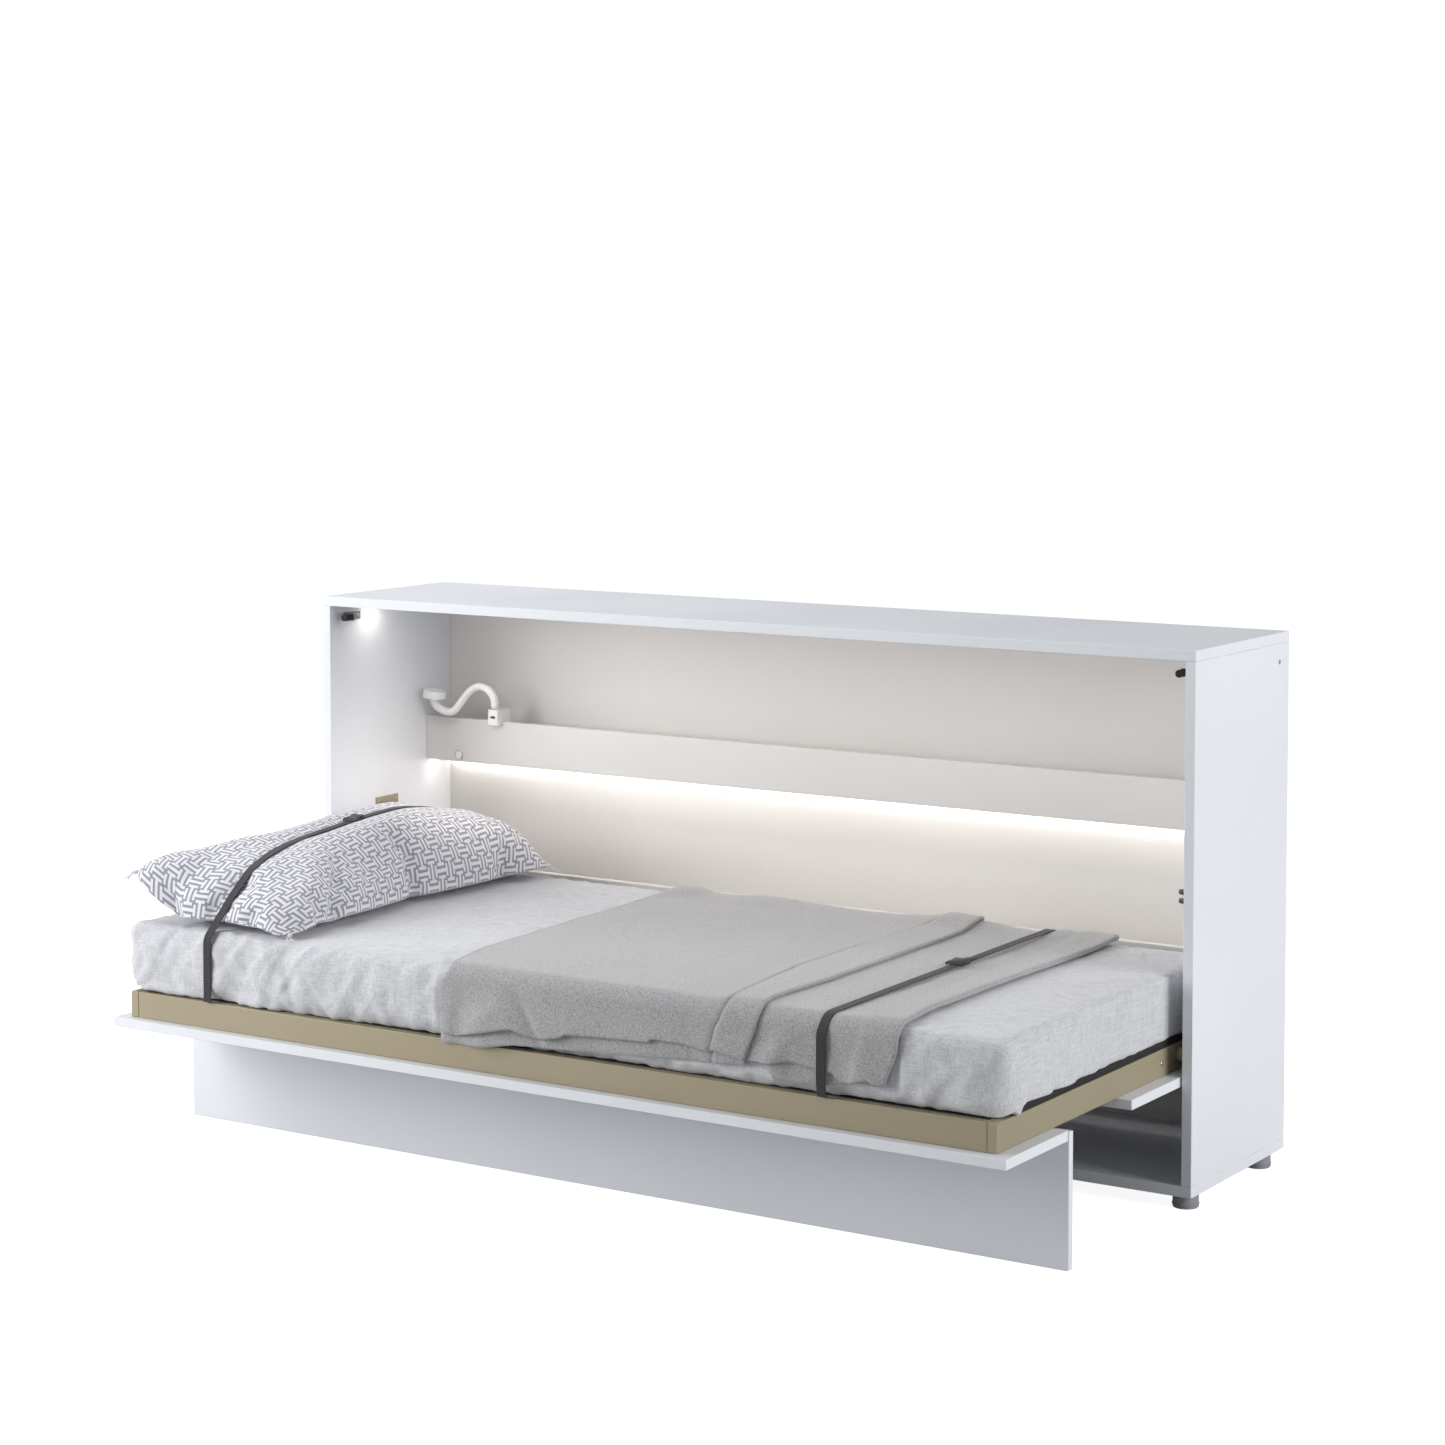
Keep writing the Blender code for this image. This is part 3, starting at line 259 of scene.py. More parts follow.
def hard_surface(name, colour, roughness, metallic=0.0, mottle=0.02, grain=700.0, depth=0.00002,
                 wear=1.05, stretch=(1.0, 1.0, 1.0), coat=0.0, waves=0.0):
    """Board, coated steel, plastic or bare metal: uneven tone, fine grain, uneven gloss and lighter edges."""
    made = Surface(name, roughness, metallic, coat=coat)
    broad = made.noise(2.3, detail=4.0)
    fine = made.noise(grain, stretch, detail=2.0)
    tone = made.ramp(broad, [(0.30, scaled(colour, 1 - mottle)), (0.70, scaled(colour, 1 + mottle))])
    speck = made.mix(made.spread(fine, 0.0, mottle * 2.5), tone, scaled(colour, 0.6))
    worn = made.math("MULTIPLY", made.edges(), made.spread(made.noise(60.0), 0.3, 1.0, 0.35, 0.65))
    made.colour(made.mix(worn, speck, scaled(colour, wear)))
    made.rough(made.mix(0.35, broad, fine), roughness * 0.85, min(1.0, roughness * 1.18))
    if waves:
        made.bump(made.noise(38.0, detail=1.0), waves)
    made.bump(fine, depth)
    return made.material


HARD_FINISHES = {
    "white_laminate": dict(
        colour=srgb(226, 229, 234), roughness=0.42, grain=900.0, depth=0.00003, waves=0.00004
    ),
    "grey_interior": dict(
        colour=srgb(218, 215, 212), roughness=0.55, grain=900.0, depth=0.00003, waves=0.00004
    ),
    "taupe_steel": dict(
        colour=srgb(163, 152, 128), roughness=0.46, metallic=0.25, grain=1400.0, depth=0.00006,
        mottle=0.03, wear=1.25, waves=0.00002,
    ),
    "dark_steel": dict(
        colour=srgb(62, 63, 66), roughness=0.40, metallic=0.7, grain=1200.0, mottle=0.06, wear=1.9
    ),
    "cast_steel": dict(
        colour=srgb(128, 131, 136), roughness=0.45, metallic=0.35, grain=900.0, mottle=0.08, wear=1.4
    ),
    "bright_steel": dict(
        colour=srgb(190, 190, 192), roughness=0.28, metallic=1.0, grain=420.0, mottle=0.05,
        stretch=(0.06, 1.0, 1.0), wear=1.15,
    ),
    "grey_plastic": dict(
        colour=srgb(140, 142, 146), roughness=0.52, grain=1100.0, depth=0.00005, mottle=0.03
    ),
    "white_plastic": dict(
        colour=srgb(238, 238, 238), roughness=0.34, grain=1500.0, mottle=0.01, coat=0.15
    ),
    "black_rubber": dict(
        colour=srgb(30, 30, 31), roughness=0.78, grain=800.0, depth=0.00008, mottle=0.10, wear=1.6
    ),
    "aluminium": dict(
        colour=srgb(205, 206, 208), roughness=0.33, metallic=1.0, grain=500.0,
        stretch=(0.02, 1.0, 1.0), wear=1.1,
    ),
}


def birch_ply():
    """Lacquered birch ply slats; the ends, within a holder's length of the rails, are dark plastic."""
    made = Surface("birch", 0.55)
    figure = made.noise(26.0, (1.0, 0.08, 1.0), detail=5.0, distortion=0.6)
    pores = made.noise(900.0, (1.0, 0.03, 1.0), detail=2.0)
    tones = [(0.25, srgb(193, 160, 118)), (0.5, srgb(214, 184, 142)), (0.8, srgb(226, 202, 166))]
    wood = made.ramp(figure, tones)
    veneer = made.mix(made.spread(pores, 0.0, 0.35, 0.5, 0.8), wood, srgb(160, 126, 88))
    low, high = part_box("slat_base")
    middle = (low.y + high.y) / 2 - frame["nodes"]["slat_base"].location.y
    half = (high.y - low.y) / 2 - SLAT_HOLDER
    across = made.node("SeparateXYZ", {0: made.place}).outputs[1]
    held = made.math("GREATER_THAN", made.math("ABSOLUTE", made.math("SUBTRACT", across, middle)), half)
    made.colour(made.mix(held, veneer, srgb(52, 52, 54)))
    made.rough(figure, 0.48, 0.62)
    made.bump(pores, 0.00005)
    return made.material


def lit_diffuser(name, strength, colour=(255, 250, 243)):
    made = Surface(name, 0.5)
    ribs = made.noise(1200.0, (1.0, 0.05, 0.05), detail=1.0)
    made.colour(made.ramp(ribs, [(0.3, srgb(248, 243, 234)), (0.7, srgb(255, 251, 244))]))
    made.bump(ribs, 0.00004)
    made.shader.inputs["Emission Color"].default_value = (*srgb(*colour), 1.0)
    made.shader.inputs["Emission Strength"].default_value = strength
    return made.material


def opal_lens():
    made = Surface("lamp_opal", 0.4)
    cells = made.node("TexVoronoi", {"Vector": made.place, "Scale": 420.0}).outputs["Distance"]
    made.colour(made.ramp(cells, [(0.1, srgb(250, 248, 242)), (0.8, srgb(228, 226, 220))]))
    made.bump(cells, 0.0002)
    made.rough(cells, 0.25, 0.5, 0.0, 1.0)
    return made.material


def thread_streaks(made, along, across):
    """Uneven yarns running along each axis in turn; each shows on the faces that hold its axis."""
    layers = []
    for axis in range(3):
        stretch = [across] * 3
        stretch[axis] = along
        layers.append(made.noise(1.0, tuple(stretch), detail=2.0, roughness=0.6))
    total = made.math("ADD", made.math("ADD", layers[0], layers[1]), layers[2])
    return made.math("DIVIDE", total, 3.0)


def linen():
    """Light grey melange linen, with slubs along both yarns and a visible plain weave."""
    made = Surface("sheet_linen", 0.88, sheen=0.25)
    slubs = thread_streaks(made, 22.0, 420.0)
    cloud = made.noise(9.0, detail=3.0)
    tones = [(0.36, srgb(174, 176, 182)), (0.50, srgb(199, 200, 204)), (0.64, srgb(219, 220, 223))]
    tone = made.ramp(slubs, tones)
    made.colour(made.mix(made.spread(cloud, 0.0, 0.12, 0.4, 0.7), tone, srgb(176, 178, 186)))
    made.rough(slubs, 0.82, 0.95)
    made.bump(thread_streaks(made, 90.0, 1500.0), 0.00035)
    made.bump(slubs, 0.0005)
    return made.material


def wool(name="throw_wool", base=(162, 162, 163)):
    """Heathered wool: pale and dark fibres in a short soft nap."""
    made = Surface(name, 0.95, sheen=0.45)
    fibres = made.noise(330.0, detail=4.0, roughness=0.75)
    yarn = thread_streaks(made, 60.0, 520.0)
    pale = srgb(*(value + 29 for value in base))
    dark = srgb(*(value - 46 for value in base))
    heather = made.ramp(fibres, [(0.33, dark), (0.50, srgb(*base)), (0.67, pale)])
    soft = srgb(*(value + 8 for value in base))
    made.colour(made.mix(made.spread(yarn, 0.0, 0.35, 0.40, 0.62), heather, soft))
    made.bump(made.noise(900.0, detail=3.0, roughness=0.7), 0.0007)
    made.bump(fibres, 0.0012, 0.6)
    return made.material


def lattice_cotton():
    """White cotton with a printed lattice: I-shaped bars, upright and lying in turn, that lock
    into each other."""
    made = Surface("pillow_cotton", 0.85, sheen=0.2)
    flat = made.node("UVMap", uv_map="cloth").outputs[0]
    cell = 1.0 / LATTICE_CELL
    turned = made.node("Mapping", {"Vector": flat, "Scale": (cell,) * 3})
    parts = made.node("SeparateXYZ", {0: turned.outputs[0]}).outputs
    cell_x = made.math("FLOOR", parts[0])
    cell_y = made.math("FLOOR", parts[1])
    inside_x = made.math("FRACT", parts[0])
    inside_y = made.math("FRACT", parts[1])
    odd = made.math("PINGPONG", made.math("ADD", cell_x, cell_y), 1.0)
    even = made.math("SUBTRACT", 1.0, odd)

    def chosen(first, second):
        return made.math("ADD", made.math("MULTIPLY", first, odd), made.math("MULTIPLY", second, even))

    across = made.math("ABSOLUTE", made.math("SUBTRACT", chosen(inside_x, inside_y), 0.5))
    along = made.math("ABSOLUTE", made.math("SUBTRACT", chosen(inside_y, inside_x), 0.5))
    bar = made.spread(across, 1.0, 0.0, 0.094, 0.128)
    cap_line = made.math("ABSOLUTE", made.math("SUBTRACT", across, 0.385))
    cap_width = made.spread(cap_line, 1.0, 0.0, 0.084, 0.118)
    cap = made.math("MULTIPLY", cap_width, made.spread(along, 1.0, 0.0, 0.360, 0.395))
    link_end = made.spread(across, 0.0, 1.0, 0.440, 0.455)
    link = made.math("MULTIPLY", link_end, made.spread(along, 1.0, 0.0, 0.094, 0.128))
    white = made.math("MAXIMUM", made.math("MAXIMUM", bar, cap), link)
    weave = thread_streaks(made, 200.0, 1800.0)
    ground = made.mix(made.spread(weave, 0.0, 1.0, 0.3, 0.7), srgb(135, 135, 148), srgb(155, 155, 166))
    top = made.mix(made.spread(weave, 0.0, 1.0, 0.3, 0.7), srgb(214, 214, 219), srgb(232, 232, 236))
    made.colour(made.mix(white, ground, top))
    made.bump(weave, 0.0003)
    return made.material


def webbing():
    """Charcoal webbing: ribs across its width, with a fine twill."""
    made = Surface("charcoal_webbing", 0.62, sheen=0.12)
    flat = made.node("UVMap", uv_map="cloth").outputs[0]
    parts = made.node("SeparateXYZ", {0: flat}).outputs
    ribs = made.math("PINGPONG", made.math("MULTIPLY", parts[1], 620.0), 1.0)
    slant = made.math("ADD", made.math("MULTIPLY", parts[0], 900.0), made.math("MULTIPLY", parts[1], 620.0))
    twill = made.math("PINGPONG", slant, 1.0)
    fuzz = made.noise(1300.0, detail=3.0)
    tone = made.ramp(made.math("MULTIPLY", ribs, fuzz), [(0.0, srgb(26, 26, 29)), (0.7, srgb(56, 57, 62))])
    made.colour(tone)
    made.rough(fuzz, 0.55, 0.8)
    made.bump(twill, 0.0004)
    made.bump(ribs, 0.0005)
    return made.material


def build_materials():
    made = {name: hard_surface(name, **settings) for name, settings in HARD_FINISHES.items()}
    made["birch"] = birch_ply()
    made["diffuser"] = lit_diffuser("strip_light", 8.5)
    made["spot_light"] = lit_diffuser("spot_light", 15.0)
    made["lamp_lens"] = opal_lens()
    made["sheet_linen"] = linen()
    made["throw_wool"] = wool()
    made["white_yarn"] = wool("white_yarn", (222, 222, 225))
    made["pillow_cotton"] = lattice_cotton()
    made["charcoal_webbing"] = webbing()
    return made


materials = build_materials()
OWN_LOOKS = {"lamp_lens": "lamp_lens", "catch_arm_left": "cast_steel", "catch_arm_right": "cast_steel"}


def dress_cad_nodes():
    """Gives every CAD node that stays in view the material of its record slot, or its own."""
    for row in frame["record"]["subparts"]:
        obj = frame["nodes"][row["node"]]
        look = OWN_LOOKS.get(row["node"], row["material_slot"])
        obj.data.materials.clear()
        obj.data.materials.append(materials[look])


# --------------------------------------------------------------------------------------------- mesh building


def piece(name, mesh, look, body, smooth_deg=35.0):
    """Turns a bmesh in world coordinates into a finished piece that rides on a body."""
    bmesh.ops.recalc_face_normals(mesh, faces=mesh.faces)
    data = bpy.data.meshes.new(name)
    mesh.to_mesh(data)
    mesh.free()
    return piece_of(name, data, look, body, smooth_deg)


def piece_of(name, data, look, body, smooth_deg=35.0):
    data.materials.append(materials[look])
    data.shade_smooth()
    if smooth_deg:
        data.set_sharp_from_angle(angle=math.radians(smooth_deg))
    obj = bpy.data.objects.new(name, data)
    bpy.context.scene.collection.objects.link(obj)
    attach(obj, body)
    return obj


def add_block(mesh, low, high, edge=0.0, segments=2, turn=None):
    """Adds a box between two corners, with rounded edges, turned about its middle."""
    size = Vector(high) - Vector(low)
    middle = (Vector(low) + Vector(high)) / 2
    turn = turn or Matrix.Identity(4)
    matrix = Matrix.Translation(middle) @ turn @ Matrix.Diagonal((*size, 1.0))
    made = bmesh.ops.create_cube(mesh, size=1.0, matrix=matrix)
    if edge:
        edges = {edge_line for vert in made["verts"] for edge_line in vert.link_edges}
        bmesh.ops.bevel(mesh, geom=list(edges), offset=edge, segments=segments, affect="EDGES", profile=0.5)


def add_turned(mesh, centre, axis, rings, segments=24):
    """Adds a closed turned solid. Each ring is (radius, distance along the axis); a radius may be a function
    of the angle, for a hexagon or a cross."""
    turn = Vector(axis).normalized().to_track_quat("Z", "X").to_matrix()
    loops = []
    for radius, along in rings:
        loop = []
        for index in range(segments):
            angle = 2 * math.pi * index / segments
            reach = radius(angle) if callable(radius) else radius
            point = turn @ Vector((reach * math.cos(angle), reach * math.sin(angle), along))
            loop.append(mesh.verts.new(Vector(centre) + point))
        loops.append(loop)
    for lower, upper in zip(loops, loops[1:]):
        for index in range(segments):
            after = (index + 1) % segments
            mesh.faces.new((lower[index], lower[after], upper[after], upper[index]))
    mesh.faces.new(list(reversed(loops[0])))
    mesh.faces.new(loops[-1])


def hexagon(radius):
    """Radius of a hexagon at an angle."""
    def reach(angle):
        return radius / math.cos((angle % (math.pi / 3)) - math.pi / 6)
    return reach


def cross(radius):
    """Radius of a rounded cross recess at an angle."""
    def reach(angle):
        return radius * (0.42 + 0.58 * abs(math.cos(2 * angle)) ** 3)
    return reach


def add_screw(mesh, place, facing, radius=0.0038, recess=cross):
    """Adds a low domed screw head with a driver recess, standing on a face."""
    rings = [
        (radius, -0.0002),
        (radius, 0.0004),
        (radius * 0.93, radius * 0.30),
        (radius * 0.72, radius * 0.46),
        (recess(radius * 0.50), radius * 0.50),
        (recess(radius * 0.42), radius * 0.10),
    ]
    add_turned(mesh, place, facing, rings)


def add_tube(mesh, points, radius, sides=12):
    """Adds a closed round tube along points; radius is a number or a function of the share of the way."""
    points = [Vector(point) for point in points]
    loops = []
    side = None
    for index, point in enumerate(points):
        ahead = points[min(index + 1, len(points) - 1)]
        behind = points[max(index - 1, 0)]
        along = (ahead - behind).normalized()
        if side is None:
            side = along.orthogonal().normalized()
        side = (side - along * side.dot(along)).normalized()
        up = along.cross(side)
        reach = radius(index / (len(points) - 1)) if callable(radius) else radius
        loop = []
        for step in range(sides):
            angle = 2 * math.pi * step / sides
            loop.append(mesh.verts.new(point + (side * math.cos(angle) + up * math.sin(angle)) * reach))
        loops.append(loop)
    for lower, upper in zip(loops, loops[1:]):
        for step in range(sides):
            after = (step + 1) % sides
            mesh.faces.new((lower[step], lower[after], upper[after], upper[step]))
    mesh.faces.new(list(reversed(loops[0])))
    mesh.faces.new(loops[-1])


def smoothstep(value, start, end):
    share = np.clip((value - start) / (end - start), 0.0, 1.0)
    return share * share * (3 - 2 * share)


def hump(value, centre, width):
    """A smooth hill: 1 at its centre, falling to nothing on both sides."""
    return np.exp(-(((value - centre) / width) ** 2))


def travelled(line):
    """How far along a line each of its points lies."""
    return np.concatenate([[0], np.cumsum(np.linalg.norm(np.diff(line, axis=0), axis=1))])


def headings(line):
    """The unit direction of a line at each of its points."""
    ahead = np.gradient(line, axis=0)
    return ahead / np.linalg.norm(ahead, axis=1)[:, None]


def coordinates(data):
    values = np.zeros(len(data.vertices) * 3, np.float32)
    data.vertices.foreach_get("co", values)
    return values.reshape(-1, 3).astype(float)


def set_coordinates(data, points):
    data.vertices.foreach_set("co", np.asarray(points, np.float32).ravel())
    data.update()


def mark_cloth(data, marks):
    """Stores the cloth's flat coordinates, in metres, as the mesh's UV map."""
    layer = data.uv_layers.new(name="cloth")
    layer.data.foreach_set("uv", np.array(marks, np.float32).ravel())


def face_outwards(data):
    mesh = bmesh.new()
    mesh.from_mesh(data)
    bmesh.ops.recalc_face_normals(mesh, faces=mesh.faces)
    mesh.to_mesh(data)
    mesh.free()


def add_grid_box(faces, count, corner):
    """Adds the quads of a box's six sides; corner(i, j, k) gives the index of a point."""
    for fixed in range(3):
        first, second = [axis for axis in range(3) if axis != fixed]
        for at in (0, count[fixed]):
            for i in range(count[first]):
                for j in range(count[second]):
                    quad = []
                    for a, b in ((0, 0), (1, 0), (1, 1), (0, 1)):
                        key = [0, 0, 0]
                        key[fixed], key[first], key[second] = at, i + a, j + b
                        quad.append(corner(*key))
                    faces.append(quad)


def noise_at(points, scale, seed=0.0):
    """Smooth noise between about -1 and 1 at each point; scale is per metre on each axis."""
    shift = Vector((seed * 17.3, seed * 5.1, seed * 9.7))
    stretched = points * np.asarray(scale, float)
    return np.array([noise.noise(Vector(point) + shift) for point in stretched])


def simulate(obj, frames, pressure, limit, growth=0.0, bending=0.5, pins=None, stiffness=15.0):
    """Runs Blender's cloth on a piece, without gravity, and keeps the result with each point's
    motion capped."""
    start = coordinates(obj.data)
    cloth = obj.modifiers.new("cloth", "CLOTH")
    settings = cloth.settings
    settings.quality = 5
    settings.mass = 0.25
    settings.air_damping = 4.0
    settings.tension_stiffness = stiffness
    settings.compression_stiffness = stiffness
    settings.shear_stiffness = stiffness / 2
    settings.bending_stiffness = bending
    settings.shrink_min = -growth
    settings.use_pressure = pressure != 0
    settings.uniform_pressure_force = pressure
    settings.effector_weights.gravity = 0.0
    if pins is not None:
        group = obj.vertex_groups.new(name="pins")
        for level in np.unique(np.round(pins, 2)):
            chosen = np.nonzero(np.round(pins, 2) == level)[0].tolist()
            if level > 0:
                group.add(chosen, float(level), "REPLACE")
        settings.vertex_group_mass = "pins"
        settings.pin_stiffness = 1.0
    scene = bpy.context.scene
    scene.frame_start = 1
    scene.frame_end = frames
    cloth.point_cache.frame_start = 1
    cloth.point_cache.frame_end = frames
    for step in range(1, frames + 1):
        scene.frame_set(step)
    shown = obj.evaluated_get(bpy.context.evaluated_depsgraph_get())
    moved = coordinates(shown.to_mesh()) - start
    shown.to_mesh_clear()
    obj.modifiers.remove(cloth)
    if pins is not None:
        obj.vertex_groups.remove(obj.vertex_groups["pins"])
    scene.frame_set(1)
    length = np.maximum(np.linalg.norm(moved, axis=1), 1e-9)
    set_coordinates(obj.data, start + moved * np.minimum(1.0, limit / length)[:, None])


def subdivide(obj, levels=1):
    """Applies smooth subdivision to a piece's mesh."""
    step = obj.modifiers.new("fine", "SUBSURF")
    step.levels = levels
    step.render_levels = levels
    shown = obj.evaluated_get(bpy.context.evaluated_depsgraph_get())
    data = bpy.data.meshes.new_from_object(shown)
    obj.modifiers.remove(step)
    obj.data = data
    return obj


# -------------------------------------------------------------------------------------------------- mattress


def lattice_steps(low, high, edge, fine, coarse):
    """Places from low to high, close together within edge of both ends."""
    near = list(np.linspace(low, low + edge, max(2, round(edge / fine) + 1)))
    count = max(2, round((high - low - 2 * edge) / coarse) + 1)
    middle = list(np.linspace(low + edge, high - edge, count))
    far = list(np.linspace(high - edge, high, max(2, round(edge / fine) + 1)))
    return np.array(near[:-1] + middle + far[1:])


def rounded_block(name, low, high, rounds, step):
    """A closed mesh of even quads over a box. rounds: radii of its upright, top and bottom edges."""
    across, top, bottom = rounds
    radius = max(rounds)
    axes = [lattice_steps(low[i], high[i], radius, step * 0.8, step) for i in range(3)]
    count = [len(axis) - 1 for axis in axes]
    index, points = {}, []

    def corner(i, j, k):
        if (i, j, k) not in index:
            index[i, j, k] = len(points)
            points.append((axes[0][i], axes[1][j], axes[2][k]))
        return index[i, j, k]

    faces = []
    add_grid_box(faces, count, corner)
    points = np.array(points)
    middle = (low.z + high.z) / 2
    reach = np.full(points.shape, across)
    reach[:, 2] = np.where(points[:, 2] > middle, top, bottom)
    below = np.array(low) + [across, across, bottom]
    above = np.array(high) - [across, across, top]
    inner = np.clip(points, below, above)
    outward = (points - inner) / reach
    length = np.maximum(np.linalg.norm(outward, axis=1), 1e-9)[:, None]
    data = bpy.data.meshes.new(name)
    data.from_pydata((inner + outward / length * reach).tolist(), [], faces)
    face_outwards(data)
    return data


def ridged(points, scale, seed):
    """Sharp creases: 1 along the noise's zero lines, falling off quickly to 0."""
    return np.clip(1 - np.abs(noise_at(points, scale, seed)) * 3.0, 0, 1) ** 1.5


def crumple(points, low, high):
    """How far the sheet stands off the foam at each point: creases down its sides, soft waves on top."""
    x, y, z = points.T
    drop = high.z - z
    height = (z - low.z) / (high.z - low.z)
    side = smoothstep(-y, -low.y - 0.05, -low.y - 0.01) + smoothstep(y, high.y - 0.05, high.y - 0.01)
    end = smoothstep(np.abs(x), high.x - 0.05, high.x - 0.01) * (1 - side)
    leaning = np.stack([x + 0.75 * drop, y, z * 0.45], 1)
    counter = np.stack([x - 0.55 * drop, y, z * 0.45], 1)
    creases = ridged(leaning, (17.0, 3.0, 12.0), 1.0) + 0.7 * ridged(counter, (21.0, 3.0, 15.0), 2.0)
    fine = ridged(leaning, (46.0, 6.0, 34.0), 9.0)
    along_end = np.stack([x, y - 0.45 * drop, z * 0.45], 1)
    end_creases = ridged(along_end, (4.0, 19.0, 14.0), 3.0)
    patch = 0.25 + 0.75 * smoothstep(noise_at(points, (2.6, 2.6, 2.6), 4.0) - 0.35 * (x + 0.3), -0.30, 0.35)
    fade = 1 - 0.55 * smoothstep(height, 0.60, 1.0)
    billow = noise_at(points, (9.0, 5.0, 14.0), 10.0)
    strong = 1.0 + 0.7 * smoothstep(-x, 0.1, 0.5) * smoothstep(-y, 0.0, 0.3)
    relief = side * fade * patch * strong * (0.0034 * creases + 0.0013 * fine) + side * 0.0022 * billow
    relief += end * fade * (0.0024 * end_creases + 0.0015 * billow)
    top = smoothstep(height, 0.9, 1.0) * (1 - side)
    waves = noise_at(points, (7.0, 3.0, 1.0), 5.0)
    ripples = ridged(points, (21.0, 6.0, 1.0), 6.0)
    return relief + top * (0.0012 * waves + 0.0010 * ripples * patch)


def hospital_corners(points, low, high):
    """The folded sheet at the front corners: a flap on the end face, its edge
    slanting down from the corner."""
    x, y, z = points.T
    drop = high.z - z
    end = smoothstep(np.abs(x), high.x - 0.030, high.x - 0.006)
    front = smoothstep(-y, -low.y - 0.012, -low.y - 0.002)
    reach = y - low.y
    fold_line = 0.014 + 0.30 * drop
    flap = smoothstep(reach, fold_line - 0.003, fold_line + 0.003)
    lip = hump(reach, fold_line + 0.003, 0.005)
    below = smoothstep(drop, 0.010, 0.050)
    relief = end * below * (0.0032 * flap + 0.0022 * lip) * (1 - smoothstep(reach, 0.06, 0.30))
    relief -= end * below * (1 - flap) * 0.0040
    inward = high.x - np.abs(x)
    fan = np.clip(np.cos(np.arctan2(inward + 0.004, z - low.z + 0.010) * 15.0), 0, 1) ** 2
    relief += front * below * fan * hump(inward, 0.0, 0.085) * 0.0030
    return relief


def round_corners(points, low, high):
    """Rounds the front's right upright corner more and more towards the sheet's lower edge."""
    radius = 0.022 + 0.058 * smoothstep(high.z - points[:, 2], 0.0, 0.12)
    inward = np.maximum(0.0, high.x - np.abs(points[:, 0]))
    back = np.maximum(0.0, points[:, 1] - low.y)
    across, along = radius - inward, radius - back
    length = np.maximum(np.hypot(across, along), 1e-9)
    outside = (across > 0) & (along > 0) & (length > radius) & (points[:, 0] > 0)
    share = np.where(outside, radius / length, 1.0)
    points[:, 0] = np.where(outside, high.x - radius + across * share, points[:, 0])
    points[:, 1] = np.where(outside, low.y + radius - along * share, points[:, 1])
    return points


def tucked(x):
    """Where the sheet's lower front edge is drawn in behind the rail (1) or bulges out over it (-1)."""
    places = (-1.0, -0.985, -0.955, -0.83, -0.80, -0.73, -0.70, -0.64, -0.60, 1.0)
    return np.interp(x, places, (1.0, 1.0, -1.0, -0.8, 0.7, 0.7, -1.0, -0.8, 0.8, 1.0))


def sheet_box():
    """The fitted sheet's own box: it bulges a little past the foam, out over the frame's rim."""
    low, high = MATTRESS
    return low - Vector((SHEET_BULGE[0], SHEET_BULGE[1], 0.0)), high + Vector((SHEET_BULGE[0], 0.0, 0.0))


def build_mattress():
    """A foam mattress in a fitted linen sheet: simulated as cloth a little too large for the foam."""
    low, high = sheet_box()
    shrink = 0.002
    start_low = low + Vector((shrink, shrink, 0.0015))
    start_high = high - Vector((shrink, shrink, 0.002))
    step = 0.015
    data = rounded_block("mattress_sheet", start_low, start_high, SHEET_ROUND, step)
    obj = piece_of("mattress_sheet", data, "sheet_linen", "bed", 0)
    points = coordinates(data)
    height = (points[:, 2] - low.z) / (high.z - low.z)
    pins = np.where(height < 0.06, 0.9, np.where(height > 0.93, 0.45, 0.15))
    simulate(obj, 18, 1.2, 0.007, growth=0.05, bending=0.04, pins=pins)
    subdivide(obj)
    points = coordinates(obj.data)
    normals = np.zeros(len(points) * 3, np.float32)
    obj.data.vertices.foreach_get("normal", normals)
    normals = normals.reshape(-1, 3).astype(float)
    points += normals * (crumple(points, low, high) + hospital_corners(points, low, high))[:, None]
    points[:, 2] = np.maximum(points[:, 2], MATTRESS[0].z)
    points = round_corners(points, low, high)
    # the hem of the front, in and out over the rail, and that of the foot end, drawn in above the black strip
    # of painted shade
    tuck = tucked(points[:, 0])
    hem = 1 - smoothstep(points[:, 2], low.z + 0.004, low.z + 0.030)
    hem = hem * smoothstep(-points[:, 1], 0.40, 0.52)
    points[:, 1] += hem * np.where(tuck > 0, 0.009, 0.004) * tuck
    end_hem = 1 - smoothstep(points[:, 2], low.z + SHADE_STRIP_HEIGHT - 0.002, low.z + SHADE_STRIP_HEIGHT + 0.006)
    end_hem *= smoothstep(points[:, 0], 0.90, 0.98) * smoothstep(points[:, 1], low.y + 0.05, low.y + 0.12)
    points[:, 0] -= 0.016 * end_hem
    # flat under the throw, and narrow enough for the cabinet's fittings at the rear
    covered = (points[:, 0] > THROW_LEFT - 0.02) & (points[:, 0] < THROW_RIGHT + 0.01)
    points[:, 2] = np.minimum(points[:, 2], np.where(covered, high.z, high.z + 0.001))
    points[:, 1] = np.where(covered, np.maximum(points[:, 1], low.y + 0.0004), points[:, 1])
    widest = high.x - (high.x - SHEET_REAR_HALF) * smoothstep(points[:, 1], -0.27, -0.16)
    points[:, 0] = np.clip(points[:, 0], -widest, widest)
    set_coordinates(obj.data, points)
    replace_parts(obj, "mattress")
    return obj


# ---------------------------------------------------------------------------------------------------- pillow


